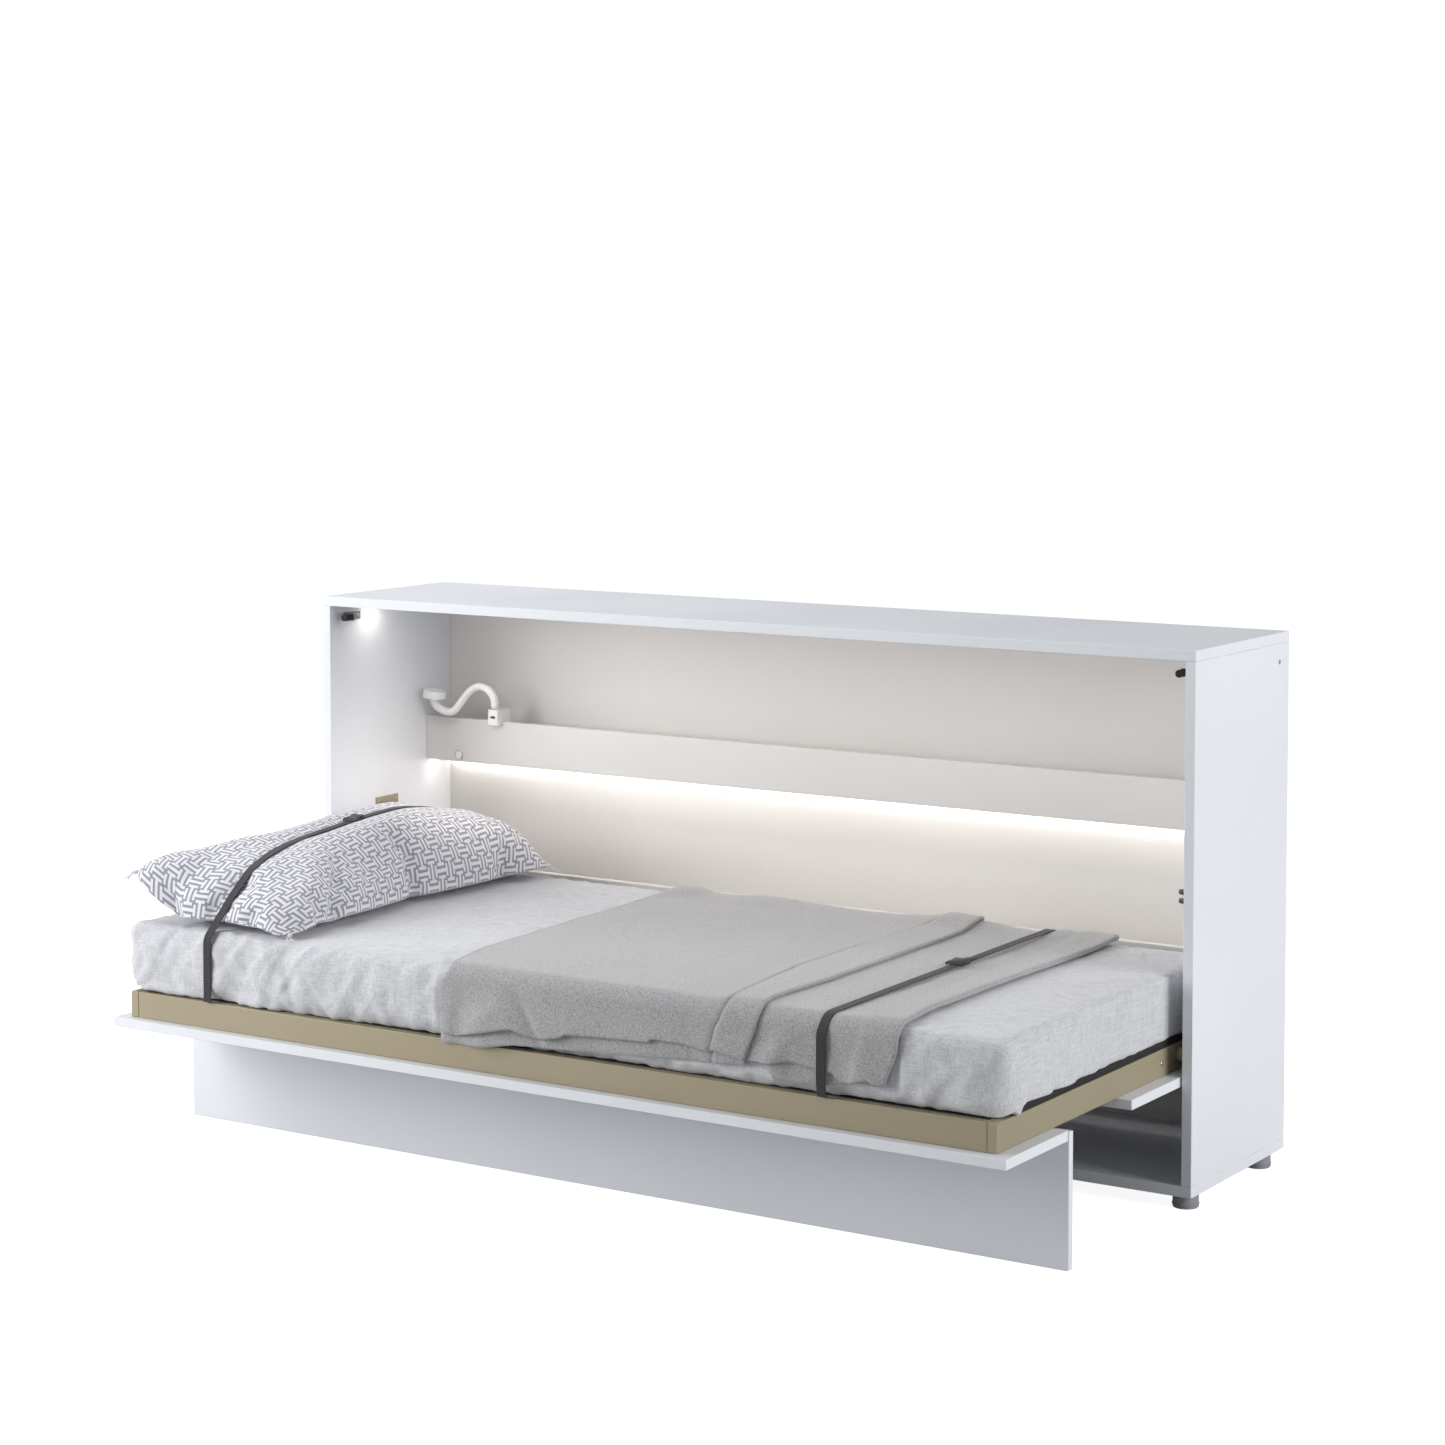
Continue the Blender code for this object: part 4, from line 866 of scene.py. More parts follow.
def flat_case(name, width, length, step):
    """Two flat panels that share their rim and bow out at their sides, with cloth
    coordinates for the print."""
    columns, rows = round(width / step), round(length / step)
    points, faces, marks = [], [], []
    index = {}
    for level in (1, -1):
        for i in range(columns + 1):
            for j in range(rows + 1):
                rim = i in (0, columns) or j in (0, rows)
                key = (i, j, 0 if rim else level)
                if key not in index:
                    u, v = 2 * i / columns - 1, 2 * j / rows - 1
                    lift = 0 if rim else level * 0.016 * ((1 - u * u) * (1 - v * v)) ** 0.5
                    index[key] = len(points)
                    bow_x, bow_y = 1 + 0.07 * (1 - v**4), 1 + 0.05 * (1 - u * u)
                    cut = 1 - 0.045 * (u * v) ** 8
                    points.append((u * width / 2 * bow_x * cut, v * length / 2 * bow_y * cut, lift))
    for level in (1, -1):
        for i in range(columns):
            for j in range(rows):
                quad = []
                for a, b in ((0, 0), (1, 0), (1, 1), (0, 1)):
                    rim = i + a in (0, columns) or j + b in (0, rows)
                    quad.append(index[i + a, j + b, 0 if rim else level])
                    marks.append(((i + a) * step + level * width, (j + b) * step))
                faces.append(quad)
    data = bpy.data.meshes.new(name)
    data.from_pydata(points, [], faces)
    mark_cloth(data, marks)
    face_outwards(data)
    return data


def fit_to(points, low, high):
    """Moves and scales points, axis by axis, to fill a box."""
    have_low, have_high = points.min(0), points.max(0)
    return np.array(low) + (points - have_low) / (have_high - have_low) * (np.array(high) - np.array(low))


def build_pillow():
    """A long pillow across the head of the bed: two panels blown up as cloth, then laid on the mattress."""
    low, high = PILLOW
    width, length = PILLOW_CUT
    step = 0.013
    data = flat_case("pillow_case", width, length, step)
    obj = piece_of("pillow_case", data, "pillow_cotton", "bed", 0)
    simulate(obj, 30, 7.0, 0.12, bending=0.2, stiffness=25.0)
    subdivide(obj)
    points = coordinates(obj.data)
    points[:, 2] = np.where(points[:, 2] < 0, points[:, 2] * 0.12, points[:, 2])
    points = fit_to(points, (low.x - 0.016, low.y - 0.012, low.z), (high.x + 0.010, high.y, high.z + 0.007))
    x, y, z = points.T
    rise = z - low.z
    # its upper half leans back, the more the further from the left end
    upper = smoothstep(rise, 0.05, 0.13)
    away = smoothstep(x, low.x + 0.04, low.x + 0.20)
    y = y + 0.030 * upper * away * (1 - smoothstep(y, low.y + 0.04, low.y + 0.30))
    z = z - (0.010 + 0.013 * away) * upper * (1 - smoothstep(y, -0.30, 0.10))
    # fuller at the left end and at the rear right corner
    left_end = hump(x, low.x, 0.12) * hump(y, low.y + 0.12, 0.10)
    z = z + 0.030 * left_end * smoothstep(rise, 0.0, 0.04)
    full = hump(x, high.x - 0.03, 0.09) * hump(y, high.y - 0.04, 0.09)
    z = z + 0.28 * rise * full
    # the front left corner stands up, and the front right one droops
    corner = np.clip(1 - (x - low.x + 0.016) / 0.115, 0, 1) * hump(y, low.y, 0.12)
    z = z + 0.078 * corner
    y = y - 0.010 * corner
    nub = hump(x, high.x, 0.05) * hump(y, low.y, 0.05)
    x = x - 0.012 * nub
    y = y - 0.010 * nub
    z = z - 0.010 * nub
    # the strap's groove, and the crease with a swelling on each side
    groove = hump(x, pillow_strap_x(y), 0.024) * smoothstep(rise, 0.03, 0.10)
    z = z - 0.007 * groove
    y = y + 0.010 * groove * (1 - smoothstep(y, low.y + 0.02, low.y + 0.16))
    crease_from, crease_to = np.array(PILLOW_CREASE[0]), np.array(PILLOW_CREASE[1])
    heading = (crease_to - crease_from) / np.linalg.norm(crease_to - crease_from)
    offset = np.stack([x, y], 1) - crease_from
    beside = offset @ np.array([-heading[1], heading[0]])
    ahead = offset @ heading
    lengthwise = smoothstep(ahead, -0.03, 0.01) * (1 - smoothstep(ahead, 0.10, 0.17))
    span = lengthwise * smoothstep(rise, 0.004, 0.03)
    crease = hump(beside, 0.0, 0.010) * span
    swell = (hump(beside, 0.045, 0.030) + hump(beside, -0.040, 0.026)) * span
    z = z - 0.009 * crease + 0.004 * swell
    x = x - 0.011 * crease * (1 - smoothstep(rise, 0.10, 0.15)) + 0.004 * swell
    rumple = ridged(np.stack([x, y, rise], 1), (7.0, 5.0, 9.0), 12.0) * smoothstep(rise, 0.01, 0.05)
    z = z - 0.0030 * rumple
    points = np.stack([x, y, np.maximum(z, low.z + 0.0002)], 1)
    points[:, 2] = np.minimum(points[:, 2], high.z + 0.008)
    set_coordinates(obj.data, points)
    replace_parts(obj, "pillow")
    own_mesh(obj)
    return obj


def build_corner_ties(pillow):
    """Short knotted threads at three corners of the pillow case."""
    points = coordinates(pillow.data)
    middle = (points.min(0) + points.max(0)) / 2
    half = (points.max(0) - points.min(0)) / 2
    shares = (points - middle) / half
    mesh = bmesh.new()
    for number, (side_x, side_y) in enumerate(((-1, -1), (1, -1), (1, 1))):
        tip = Vector(points[int(np.argmax(shares[:, 0] * side_x + shares[:, 1] * side_y))])
        outward = Vector((side_x * 0.60, side_y * 0.80, 0.0)).normalized()
        beside = Vector((-outward.y, outward.x, 0.0))
        floor_z = PILLOW[0].z + 0.0022
        knot = [tip + outward * reach for reach in (-0.005, 0.0, 0.006, 0.009)]
        add_tube(mesh, knot, lambda share: 0.0022 + 0.0024 * math.sin(math.pi * share), 10)
        for strand in range(4):
            lean = (strand - 1.5) * 0.0052
            length = 0.014 + 0.005 * ((strand * 7 + number * 5) % 3)
            line = []
            for step in range(9):
                share = step / 8
                curl = 0.0016 * math.sin(share * 9.0 + strand * 2.1 + number)
                place = tip + outward * (0.004 + length * share) + beside * (lean * share + curl)
                place.x = max(-SIDE_LIMIT_X, place.x)
                sag = 0.003 * math.sin(share * 5.0 + strand) - 0.014 * share * share
                place.z = max(floor_z, tip.z + sag)
                line.append(place)
            add_tube(mesh, line, 0.0011, 6)
    ties = piece("pillow_corner_ties", mesh, "white_yarn", "bed")
    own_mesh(ties)


# ----------------------------------------------------------------------------------------------------- throw


def bed_profile(low, high, corner, hem_z, rear_y, step):
    """Points and outward normals in y and z, up the mattress's front, round its top edge and back."""
    front_y = low.y - 0.0006
    top_z = high.z + 0.0004
    places, normals = [], []
    rise = top_z - corner - hem_z
    for share in np.linspace(0, 1, max(2, round(rise / step)), endpoint=False):
        places.append((front_y, hem_z + rise * share))
        normals.append((-1.0, 0.0))
    turns = max(4, round(corner * math.pi / 2 / (step * 0.6)))
    for share in np.linspace(0, 1, turns, endpoint=False):
        angle = math.pi - share * math.pi / 2
        normal = (math.cos(angle), math.sin(angle))
        places.append((front_y + corner + corner * normal[0], top_z - corner + corner * normal[1]))
        normals.append(normal)
    run = rear_y - front_y - corner
    for share in np.linspace(0, 1, max(2, round(run / step)) + 1):
        places.append((front_y + corner + run * share, top_z))
        normals.append((0.0, 1.0))
    return np.array(places), np.array(normals)


def pleat_profile(step):
    """The folded throw seen from its front, as (x, height): over the bed, over a groove and up on to a pleat,
    back under itself, on to the right and turned under there in a thick roll."""
    pitch = THROW_PITCH
    half = pitch / 2
    under_start, over_end = PLEAT_X
    roll = 0.9 * pitch
    rows = []

    def run(x_from, x_to, height, height_to=None):
        count = max(2, round(abs(x_to - x_from) / step))
        for share in np.linspace(0, 1, count, endpoint=False):
            ease = share * share * (3 - 2 * share)
            climb = ((height_to or height) - height) * ease
            rows.append((x_from + (x_to - x_from) * share, height + climb))

    def turn(x, centre, outward, radius=half):
        for share in np.linspace(0, 1, 7, endpoint=False):
            angle = math.pi / 2 - share * math.pi
            rows.append((x + outward * radius * math.cos(angle), centre + radius * math.sin(angle)))

    run(THROW_LEFT, under_start - 0.050, half)
    run(under_start - 0.050, under_start - 0.006, half, half + 0.0026)
    run(under_start - 0.006, under_start, half + 0.0026, half + 0.0001)
    run(under_start, under_start + 0.009, half + 0.0001, 2.6 * pitch)
    run(under_start + 0.009, over_end - half, 2.6 * pitch, 2.5 * pitch)
    turn(over_end - half, 2 * pitch, 1)
    run(over_end - half, under_start + half + 0.014, 1.5 * pitch)
    turn(under_start + half + 0.014, pitch, -1)
    run(under_start + half + 0.014, THROW_RIGHT - TURNED_EDGE - 0.022, half)
    run(THROW_RIGHT - TURNED_EDGE - 0.022, THROW_RIGHT - TURNED_EDGE, half, 1.7 * pitch)
    run(THROW_RIGHT - TURNED_EDGE, THROW_RIGHT - roll, 1.7 * pitch, half + 2 * roll)
    turn(THROW_RIGHT - roll, half + roll, 1, roll)
    run(THROW_RIGHT - roll, THROW_RIGHT - TURNED_EDGE + 0.004, half)
    return np.array(rows)


def fold_lines(travel):
    """Where the throw's left side, both pleat lines and its right side run, at a distance back from the bed's
    front edge; negative down the hanging front."""
    return [
        np.interp(travel, (-0.15, -0.04, 0.0, 0.15, 0.87), (-0.193, -0.207, -0.184, -0.219, -0.255)),
        np.interp(travel, (-0.12, -0.05, 0.0, 0.08, 0.32, 0.85), (0.420, 0.426, 0.446, 0.433, 0.397, 0.412)),
        np.interp(travel, (-0.12, -0.05, 0.0, 0.06, 0.26, 0.85), (0.493, 0.510, 0.521, 0.507, 0.515, 0.499)),
        np.interp(travel, (-0.12, -0.04, 0.01, 0.15, 0.35, 0.92), (0.784, 0.806, 0.806, 0.790, 0.789, 0.802)),
    ]


def rear_lift(x):
    """How high the doubled rear edge stands up in soft humps."""
    places = (-0.26, -0.23, -0.19, -0.15, -0.10, 0.0, 0.07, 0.20, 0.30,
              0.40, 0.44, 0.50, 0.57, 0.64, 0.68, 0.72, 0.80)
    heights = (0.003, 0.013, 0.013, 0.004, 0.004, 0.010, 0.007, 0.003, 0.003,
               0.009, 0.013, 0.011, 0.004, 0.002, 0.012, 0.010, 0.005)
    return np.interp(x, places, heights)


def drape(x, depth):
    """How far the hanging front stands off the mattress: a flared fold near its left end, and soft waves."""
    flare = smoothstep(depth, 0.0, 0.12)
    valley = -0.036 + 0.60 * max(0.0, depth - 0.01)
    ridge = -0.044 - 0.30 * depth
    swell = smoothstep(x, ridge - 0.085, ridge)
    fall = np.clip((x - ridge) / (valley - ridge), 0, 1)
    fold = swell * (1 - fall**1.7) * 0.022
    fold += 0.012 * smoothstep(x, valley, valley + 0.016) * np.exp(-np.maximum(0.0, x - valley) / 0.09)
    lip = hump(x, THROW_LEFT + 0.012, 0.014) * 0.004
    waves = 0.0020 * (1 + np.sin(x * 21.0 + 0.8)) * (0.6 + 0.4 * np.sin(x * 7.3))
    beside = hump(x, THROW_STRAP_X - 0.070 - 0.25 * depth, 0.024) * 0.012
    beside += hump(x, THROW_STRAP_X + 0.060 + 0.20 * depth, 0.026) * 0.010
    near_strap = hump(x, THROW_STRAP_X, 0.040)
    return flare * ((fold + lip + waves + beside) * (1 - 0.95 * near_strap))


def hem_heights(x):
    """Heights of the upper layer's stepped hem and of the lower layer's, which shows below it."""
    places = (-0.20, -0.151, -0.014, 0.007, 0.043, 0.102, 0.105, 0.300, 0.303, 0.369, 0.431, 0.441,
              0.503, 0.514, 0.570, 0.610, 0.687, 0.697, 0.706, 0.732, 0.771, 0.778, 0.80)
    heights = (0.325, 0.321, 0.351, 0.345, 0.338, 0.347, 0.354, 0.363, 0.370, 0.369, 0.361, 0.368,
               0.359, 0.354, 0.358, 0.366, 0.356, 0.354, 0.343, 0.343, 0.355, 0.347, 0.347)
    upper = np.interp(x, places, heights)
    places = (-0.20, -0.09, -0.015, 0.068, 0.215, 0.363, 0.44, 0.50, 0.563, 0.572, 0.65, 0.695, 0.74, 0.80)
    heights = (0.302, 0.306, 0.319, 0.322, 0.328, 0.338, 0.341, 0.347, 0.347, 0.326, 0.328, 0.335,
               0.344, 0.345)
    lower = np.interp(x, places, heights)
    return upper, lower


def build_throw():
    """A wool throw, doubled at the back and pleated: one sheet, laid out by its folds."""
    low, high = sheet_box()
    step = 0.008
    rear_y = THROW[1].y - 0.004
    places, normals = bed_profile(low, high, THROW_TOP_CORNER, THROW_HEM_Z, rear_y, step)
    rows = pleat_profile(step)
    tangent = headings(rows)
    across = np.stack([-tangent[:, 1], tangent[:, 0]], 1)
    apart = THROW_PITCH / 4
    turns = 6
    last = len(places) - 1
    layers = [(index, apart, 0.0) for index in range(last + 1)]
    for share in range(1, turns):
        angle = math.pi * share / turns
        layers.append((last, apart * math.cos(angle), apart * math.sin(angle)))
    layers += [(index, -apart, 0.0) for index in range(last, -1, -1)]
    count = len(rows)
    points = np.zeros((len(layers), count, 3))
    lengths = travelled(rows)
    marks = np.zeros((len(layers), count, 2))
    nominal = (THROW_LEFT, PLEAT_X[0], PLEAT_X[1], THROW_RIGHT)
    edge_travel = travelled(places)
    edge_travel -= edge_travel[int(np.argmax(normals[:, 1] > 0.7))]
    travels = np.linspace(edge_travel[0] - 0.05, edge_travel[-1] + 0.05, 200)
    lines = np.array([fold_lines(travel) for travel in travels])
    for _ in range(3):
        lines[1:-1] = (lines[:-2] + 2 * lines[1:-1] + lines[2:]) / 4
    upper, lower = hem_heights(rows[:, 0])
    along = 0.0
    before = None
    for level, (index, side, beyond) in enumerate(layers):
        y, z = places[index]
        out_y, out_z = normals[index]
        here_lines = [np.interp(edge_travel[index], travels, lines[:, line]) for line in range(4)]
        x = np.interp(rows[:, 0] + across[:, 0] * side, nominal, here_lines)
        lift = rows[:, 1] + across[:, 1] * side
        depth = max(0.0, high.z - z)
        swing = drape(x, depth) * (1.0 if side > 0 else 0.55) if depth > 0 else 0.0
        points[level, :, 0] = x
        points[level, :, 1] = y + out_y * (lift + swing) + beyond
        points[level, :, 2] = z + out_z * lift
        corner_z = high.z - THROW_TOP_CORNER
        if z < corner_z:
            share = (corner_z - z) / (corner_z - THROW_HEM_Z)
            hem = upper if side > 0 else lower
            points[level, :, 2] = corner_z - share * (corner_z - hem)
            points[level, :, 1] -= 0.004 * smoothstep(0.335 - points[level, :, 2], 0.0, 0.02)
            if side > 0:
                points[level, :, 1] -= 0.0045 * smoothstep(share, 0.35, 1.0)
        rise = smoothstep(edge_travel[index], edge_travel[-1] - 0.10, edge_travel[-1] - 0.01)
        points[level, :, 2] += rise * rear_lift(x)
        here = Vector((y + beyond, z, side))
        along += 0.0 if before is None else (here - before).length
        before = here
        marks[level, :, 0] = lengths
        marks[level, :, 1] = along
    total = points.reshape(-1, 3)
    soft = noise_at(total, (9.0, 5.0, 9.0), 7.0) * 0.0020
    soft += noise_at(total, (38.0, 21.0, 38.0), 8.0) * 0.0006
    on_top = smoothstep(total[:, 2], high.z - 0.012, high.z)
    total[:, 2] += np.maximum(0.0, soft + 0.0012) * on_top
    total[:, 1] -= np.maximum(0.0, soft + 0.0012) * (1 - on_top)
    # what stands out too far for the closed cabinet is pressed back softly
    proud = np.maximum(0.0, FRONT_LIMIT_Y - total[:, 1])
    pressed = FRONT_LIMIT_Y - FRONT_LIMIT_GIVE * (1 - np.exp(-proud / FRONT_LIMIT_GIVE))
    total[:, 1] = np.where(proud > 0, pressed, total[:, 1])
    faces = []
    uv = []
    flat_marks = marks.reshape(-1, 2)
    for level in range(len(layers) - 1):
        for index in range(count - 1):
            first = level * count + index
            quad = [first, first + 1, first + count + 1, first + count]
            faces.append(quad)
            uv += [flat_marks[corner] for corner in quad]
    data = bpy.data.meshes.new("throw")
    data.from_pydata(total.tolist(), [], faces)
    mark_cloth(data, uv)
    obj = piece_of("throw", data, "throw_wool", "bed", 0)
    solid = obj.modifiers.new("cloth_thickness", "SOLIDIFY")
    solid.thickness = CLOTH
    solid.offset = 0.0
    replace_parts(obj, "throw_blanket")
    return obj


# ---------------------------------------------------------------------------------------------------- straps


def upper_hull(points):
    """The line of a taut strap over points given as (y, z), sorted by y."""
    hull = []
    for point in sorted(points):
        while len(hull) > 1:
            (ay, az), (by, bz) = hull[-2], hull[-1]
            if (by - ay) * (point[1] - az) - (bz - az) * (point[0] - ay) >= 0:
                hull.pop()
            else:
                break
        hull.append(point)
    return hull


def even_line(line, step):
    line = np.array(line, float)
    along = travelled(line)
    at = np.linspace(0, along[-1], max(3, round(along[-1] / step) + 1))
    return np.stack([np.interp(at, along, line[:, k]) for k in range(2)], 1)


def rounded_line(line, rounds=3):
    """Softens corners by averaging neighbours; the ends stay."""
    for _ in range(rounds):
        line[1:-1] = (line[:-2] + 2 * line[1:-1] + line[2:]) / 4
    return line


def ribbon(name, x, line, body, width=STRAP_WIDTH):
    """A woven strap along a line of (y, z), with rounded selvedges, as one closed mesh. x is one
    number, or one for each point of the line."""
    half = width / 2
    thick = STRAP_THICKNESS / 2
    section = [
        (-half, 0.0), (-half + 0.0008, thick * 1.15), (-half + 0.004, thick), (0.0, thick * 0.92),
        (half - 0.004, thick), (half - 0.0008, thick * 1.15), (half, 0.0), (half - 0.0008, -thick),
        (0.0, -thick), (-half + 0.0008, -thick),
    ]
    tangent = headings(line)
    points, faces, marks = [], [], []
    along = travelled(line)
    count = len(section)
    for middle, (y, z), (ty, tz) in zip(np.broadcast_to(x, len(line)), line, tangent):
        for across, lift in section:
            points.append((middle + across, y - tz * lift, z + ty * lift))
    for ring in range(len(line) - 1):
        for index in range(count):
            after = (index + 1) % count
            lower, upper = ring * count, (ring + 1) * count
            faces.append([lower + index, lower + after, upper + after, upper + index])
            for offset, edge in ((0, index), (0, after), (1, after), (1, index)):
                marks.append((section[edge][0] + half, along[ring + offset]))
    for ring in (0, len(line) - 1):
        faces.append([ring * count + index for index in range(count)])
        marks += [(section[index][0] + half, along[ring]) for index in range(count)]
    data = bpy.data.meshes.new(name)
    data.from_pydata(points, [], faces)
    mark_cloth(data, marks)
    face_outwards(data)
    return piece_of(name, data, "charcoal_webbing", body, 50)


def buckle(name, x, line, share):
    """A cam buckle on a strap: a frame with two bars, and a toothed lever."""
    index = int(len(line) * share)
    y, z = line[index]
    ahead = line[index + 1] - line[index - 1]
    slope = math.atan2(ahead[1], ahead[0])
    turn = Matrix.Rotation(slope, 4, "X")
    mesh = bmesh.new()
    for across in (-BUCKLE_WIDTH / 2, BUCKLE_WIDTH / 2):
        add_block(mesh, (across - 0.0015, -0.017, 0.0002), (across + 0.0015, 0.017, 0.0062), 0.0008)
    for along in (-0.0155, 0.0155):
        bar = [(0.0019, 0.0), (0.0019, BUCKLE_WIDTH)]
        add_turned(mesh, (-BUCKLE_WIDTH / 2, along, 0.0030), (1, 0, 0), bar, 12)
    lever = Matrix.Rotation(math.radians(9), 4, "X")
    add_block(mesh, (-0.0142, -0.012, 0.0052), (0.0142, 0.016, 0.0078), 0.0010, 2, lever)
    for tooth in range(9):
        across = -0.012 + tooth * 0.003
        add_block(mesh, (across - 0.0006, -0.0125, 0.0030), (across + 0.0006, -0.0100, 0.0062), 0.0003, 1)
    bmesh.ops.transform(mesh, matrix=Matrix.Translation((x, y, z)) @ turn, verts=mesh.verts)
    return piece(name, mesh, "dark_steel", "bed")


def build_straps(mattress, pillow, throw):
    """Both straps run from the frame's front, over the bedding and down behind the mattress."""
    low, high = sheet_box()
    air = STRAP_AIR + STRAP_THICKNESS / 2
    start_z = MATTRESS[0].z + 0.0006
    sheet = coordinates(mattress.data)
    beside = sheet[np.abs(sheet[:, 0] - pillow_strap_x(sheet[:, 1])) < STRAP_WIDTH * 0.8]
    front_y = float(beside[:, 1].min()) - air - 0.0004
    rear_y = high.y + air + 0.002
    corner = SHEET_ROUND[1] * 0.3

    points = coordinates(pillow.data)
    near = points[np.abs(points[:, 0] - pillow_strap_x(points[:, 1])) < STRAP_WIDTH * 0.62]
    over = [(float(y), float(z) + air) for _, y, z in near if z > high.z + 0.04]
    over += [(front_y, high.z - corner), (rear_y, high.z - corner)]
    hull = [(front_y, start_z)] + upper_hull(over) + [(rear_y, start_z)]
    line = rounded_line(even_line(hull, 0.005), 6)
    split_front = int(np.argmax(line[:, 1] > high.z + 0.0004))
    split_rear = len(line) - 1 - int(np.argmax(line[::-1, 1] > high.z + 0.0004))
    middles = pillow_strap_x(line[:, 0])
    ribbon("pillow_strap_front", middles[: split_front + 1], line[: split_front + 1], "bed")
    over_line = line[split_front : split_rear + 1]
    top = ribbon("pillow_strap_top", middles[split_front : split_rear + 1], over_line, "bed")
    ribbon("pillow_strap_rear", middles[split_rear:], line[split_rear:], "bed")
    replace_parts(top, "pillow_strap")
    catch = buckle("pillow_buckle", PILLOW_STRAP_X, over_line, 0.50)
    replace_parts(catch, "pillow_strap_buckle")
    for soft in (top, catch):
        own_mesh(soft)

    shown = throw.evaluated_get(bpy.context.evaluated_depsgraph_get())
    points = coordinates(shown.to_mesh())
    shown.to_mesh_clear()
    near = points[np.abs(points[:, 0] - THROW_STRAP_X) < STRAP_WIDTH * 0.62]
    over = [(float(y), float(z) + air) for _, y, z in near if z > high.z - 0.004]
    hem_y = float(near[:, 1].min()) - air
    over += [(hem_y, high.z - THROW_TOP_CORNER * 0.8), (rear_y, high.z - corner)]
    hull = [(front_y, start_z), (hem_y, start_z + 0.025)] + upper_hull(over) + [(rear_y, start_z)]
    line = rounded_line(even_line(hull, 0.005), 5)
    strap = ribbon("throw_strap_webbing", THROW_STRAP_X, line, "bed")
    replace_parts(strap, "throw_strap")
    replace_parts(buckle("throw_buckle", THROW_STRAP_X, line, 0.53), "throw_strap_buckle")
    index = int(len(line) * 0.53)
    lift = 0.0028 + 0.0022 * np.sin(np.linspace(0, 3, 9))
    curl = np.stack([np.linspace(0.012, 0.052, 9), lift], 1)
    ribbon("throw_strap_end", THROW_STRAP_X + 0.004, line[index] + curl, "bed", STRAP_WIDTH * 0.9)


# -------------------------------------------------------------------------------------------------- fittings


def build_slat_holders():
    """Grey plastic shoes that hold each slat's ends on the frame."""
    low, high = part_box("slat_base")
    half = SLAT_WIDTH / 2
    pitch = (high.x - low.x - SLAT_WIDTH) / (SLAT_COUNT - 1)
    front = (low.y + 0.001, low.y + SLAT_HOLDER)
    rear = (high.y - SLAT_HOLDER, high.y - 0.001)
    for label, (y_from, y_to) in (("front", front), ("rear", rear)):
        mesh = bmesh.new()
        for index in range(SLAT_COUNT):
            x = low.x + half + index * pitch
            under = (x - half - 0.003, y_from, low.z - 0.0045), (x + half + 0.003, y_to, low.z - 0.0006)
            add_block(mesh, *under, 0.0012)
            for side in (-1, 1):
                lip = x + side * (half + 0.0024)
                upright = (lip - 0.0012, y_from, low.z - 0.002), (lip + 0.0012, y_to, high.z - 0.0006)
                add_block(mesh, *upright, 0.0006)
        piece("slat_holders_" + label, mesh, "grey_plastic", "bed")


def build_screws():
    """Screws and bolts on the plates, catches, rails and leg hinges."""
    cabinet = bmesh.new()
    bed = bmesh.new()
    for label, side in SIDES:
        facing = (-side, 0, 0)
        plate_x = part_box("cabinet_side_" + label)
        board_face = plate_x[0].x if side > 0 else plate_x[1].x
        face = board_face - side * 0.0030
        for plate in ("strut_plate_", "pivot_plate_"):
            low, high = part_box(plate + label)
            for y in (low.y + 0.009, high.y - 0.009):
                for z in (low.z + 0.009, high.z - 0.009):
                    add_screw(cabinet, (face, y, z), facing, 0.0034)
        low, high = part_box("catch_arm_" + label)
        for share in (0.45, 0.82):
            place = (board_face - side * 0.0063, low.y + (high.y - low.y) * share, (low.z + high.z) / 2)
            add_screw(cabinet, place, facing, 0.0034)
        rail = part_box("side_rail_" + label)
        outer = rail[1].x if side > 0 else rail[0].x
        middle = (rail[0].z + rail[1].z) / 2
        for offset in (-0.040, 0.034):
            y = (rail[0].y + rail[1].y) / 2 + 0.24 + offset
            add_screw(bed, (outer, y, middle), (side, 0, 0), 0.0050, hexagon)
        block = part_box("leg_hinge_block_" + label)
        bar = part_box("leg_bar")
        for offset in (-0.024, 0.024):
            x = (block[0].x + block[1].x) / 2 + offset
            add_screw(bed, (x, (bar[0].y + bar[1].y) / 2, bar[0].z), (0, 0, -1), 0.0036, hexagon)
    piece("cabinet_screws", cabinet, "bright_steel", "cabinet")
    piece("frame_bolts", bed, "bright_steel", "bed")


def build_frame_details():
    """End caps in the side rails and mitre welds at the frame's corners."""
    caps = bmesh.new()
    welds = bmesh.new()
    for label, side in SIDES:
        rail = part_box("side_rail_" + label)
        x = rail[0].x if side > 0 else rail[1].x
        for y in (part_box("front_rail")[0].y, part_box("rear_rail")[1].y):
            outward = -1 if y < 0 else 1
            heights = np.linspace(rail[0].z + 0.0015, rail[1].z - 0.0015, 13)
            add_tube(welds, [(x, y + outward * 0.00015, z) for z in heights], 0.00055, 8)
        add_block(
            caps,
            (rail[0].x + 0.0024, rail[1].y - 0.004, rail[0].z + 0.0024),
            (rail[1].x - 0.0024, rail[1].y + 0.0016, rail[1].z - 0.0024),
            0.0012,
        )
    piece("frame_welds", welds, "taupe_steel", "bed")
    piece("rail_end_caps", caps, "grey_plastic", "bed")


def build_painted_shade_strip():
    """A black strip under the sheet along the frame's foot end: painted shade, standing in for the shadowed
    gap between the sheet and the rail.
    """
    low, high = MATTRESS
    mesh = bmesh.new()
    start = (high.x - 0.004, low.y + 0.070, low.z + 0.0003)
    end = (high.x + 0.0012, high.y - 0.030, low.z + SHADE_STRIP_HEIGHT)
    add_block(mesh, start, end, 0.0008)
    piece("painted_shade_strip", mesh, "black_rubber", "bed")


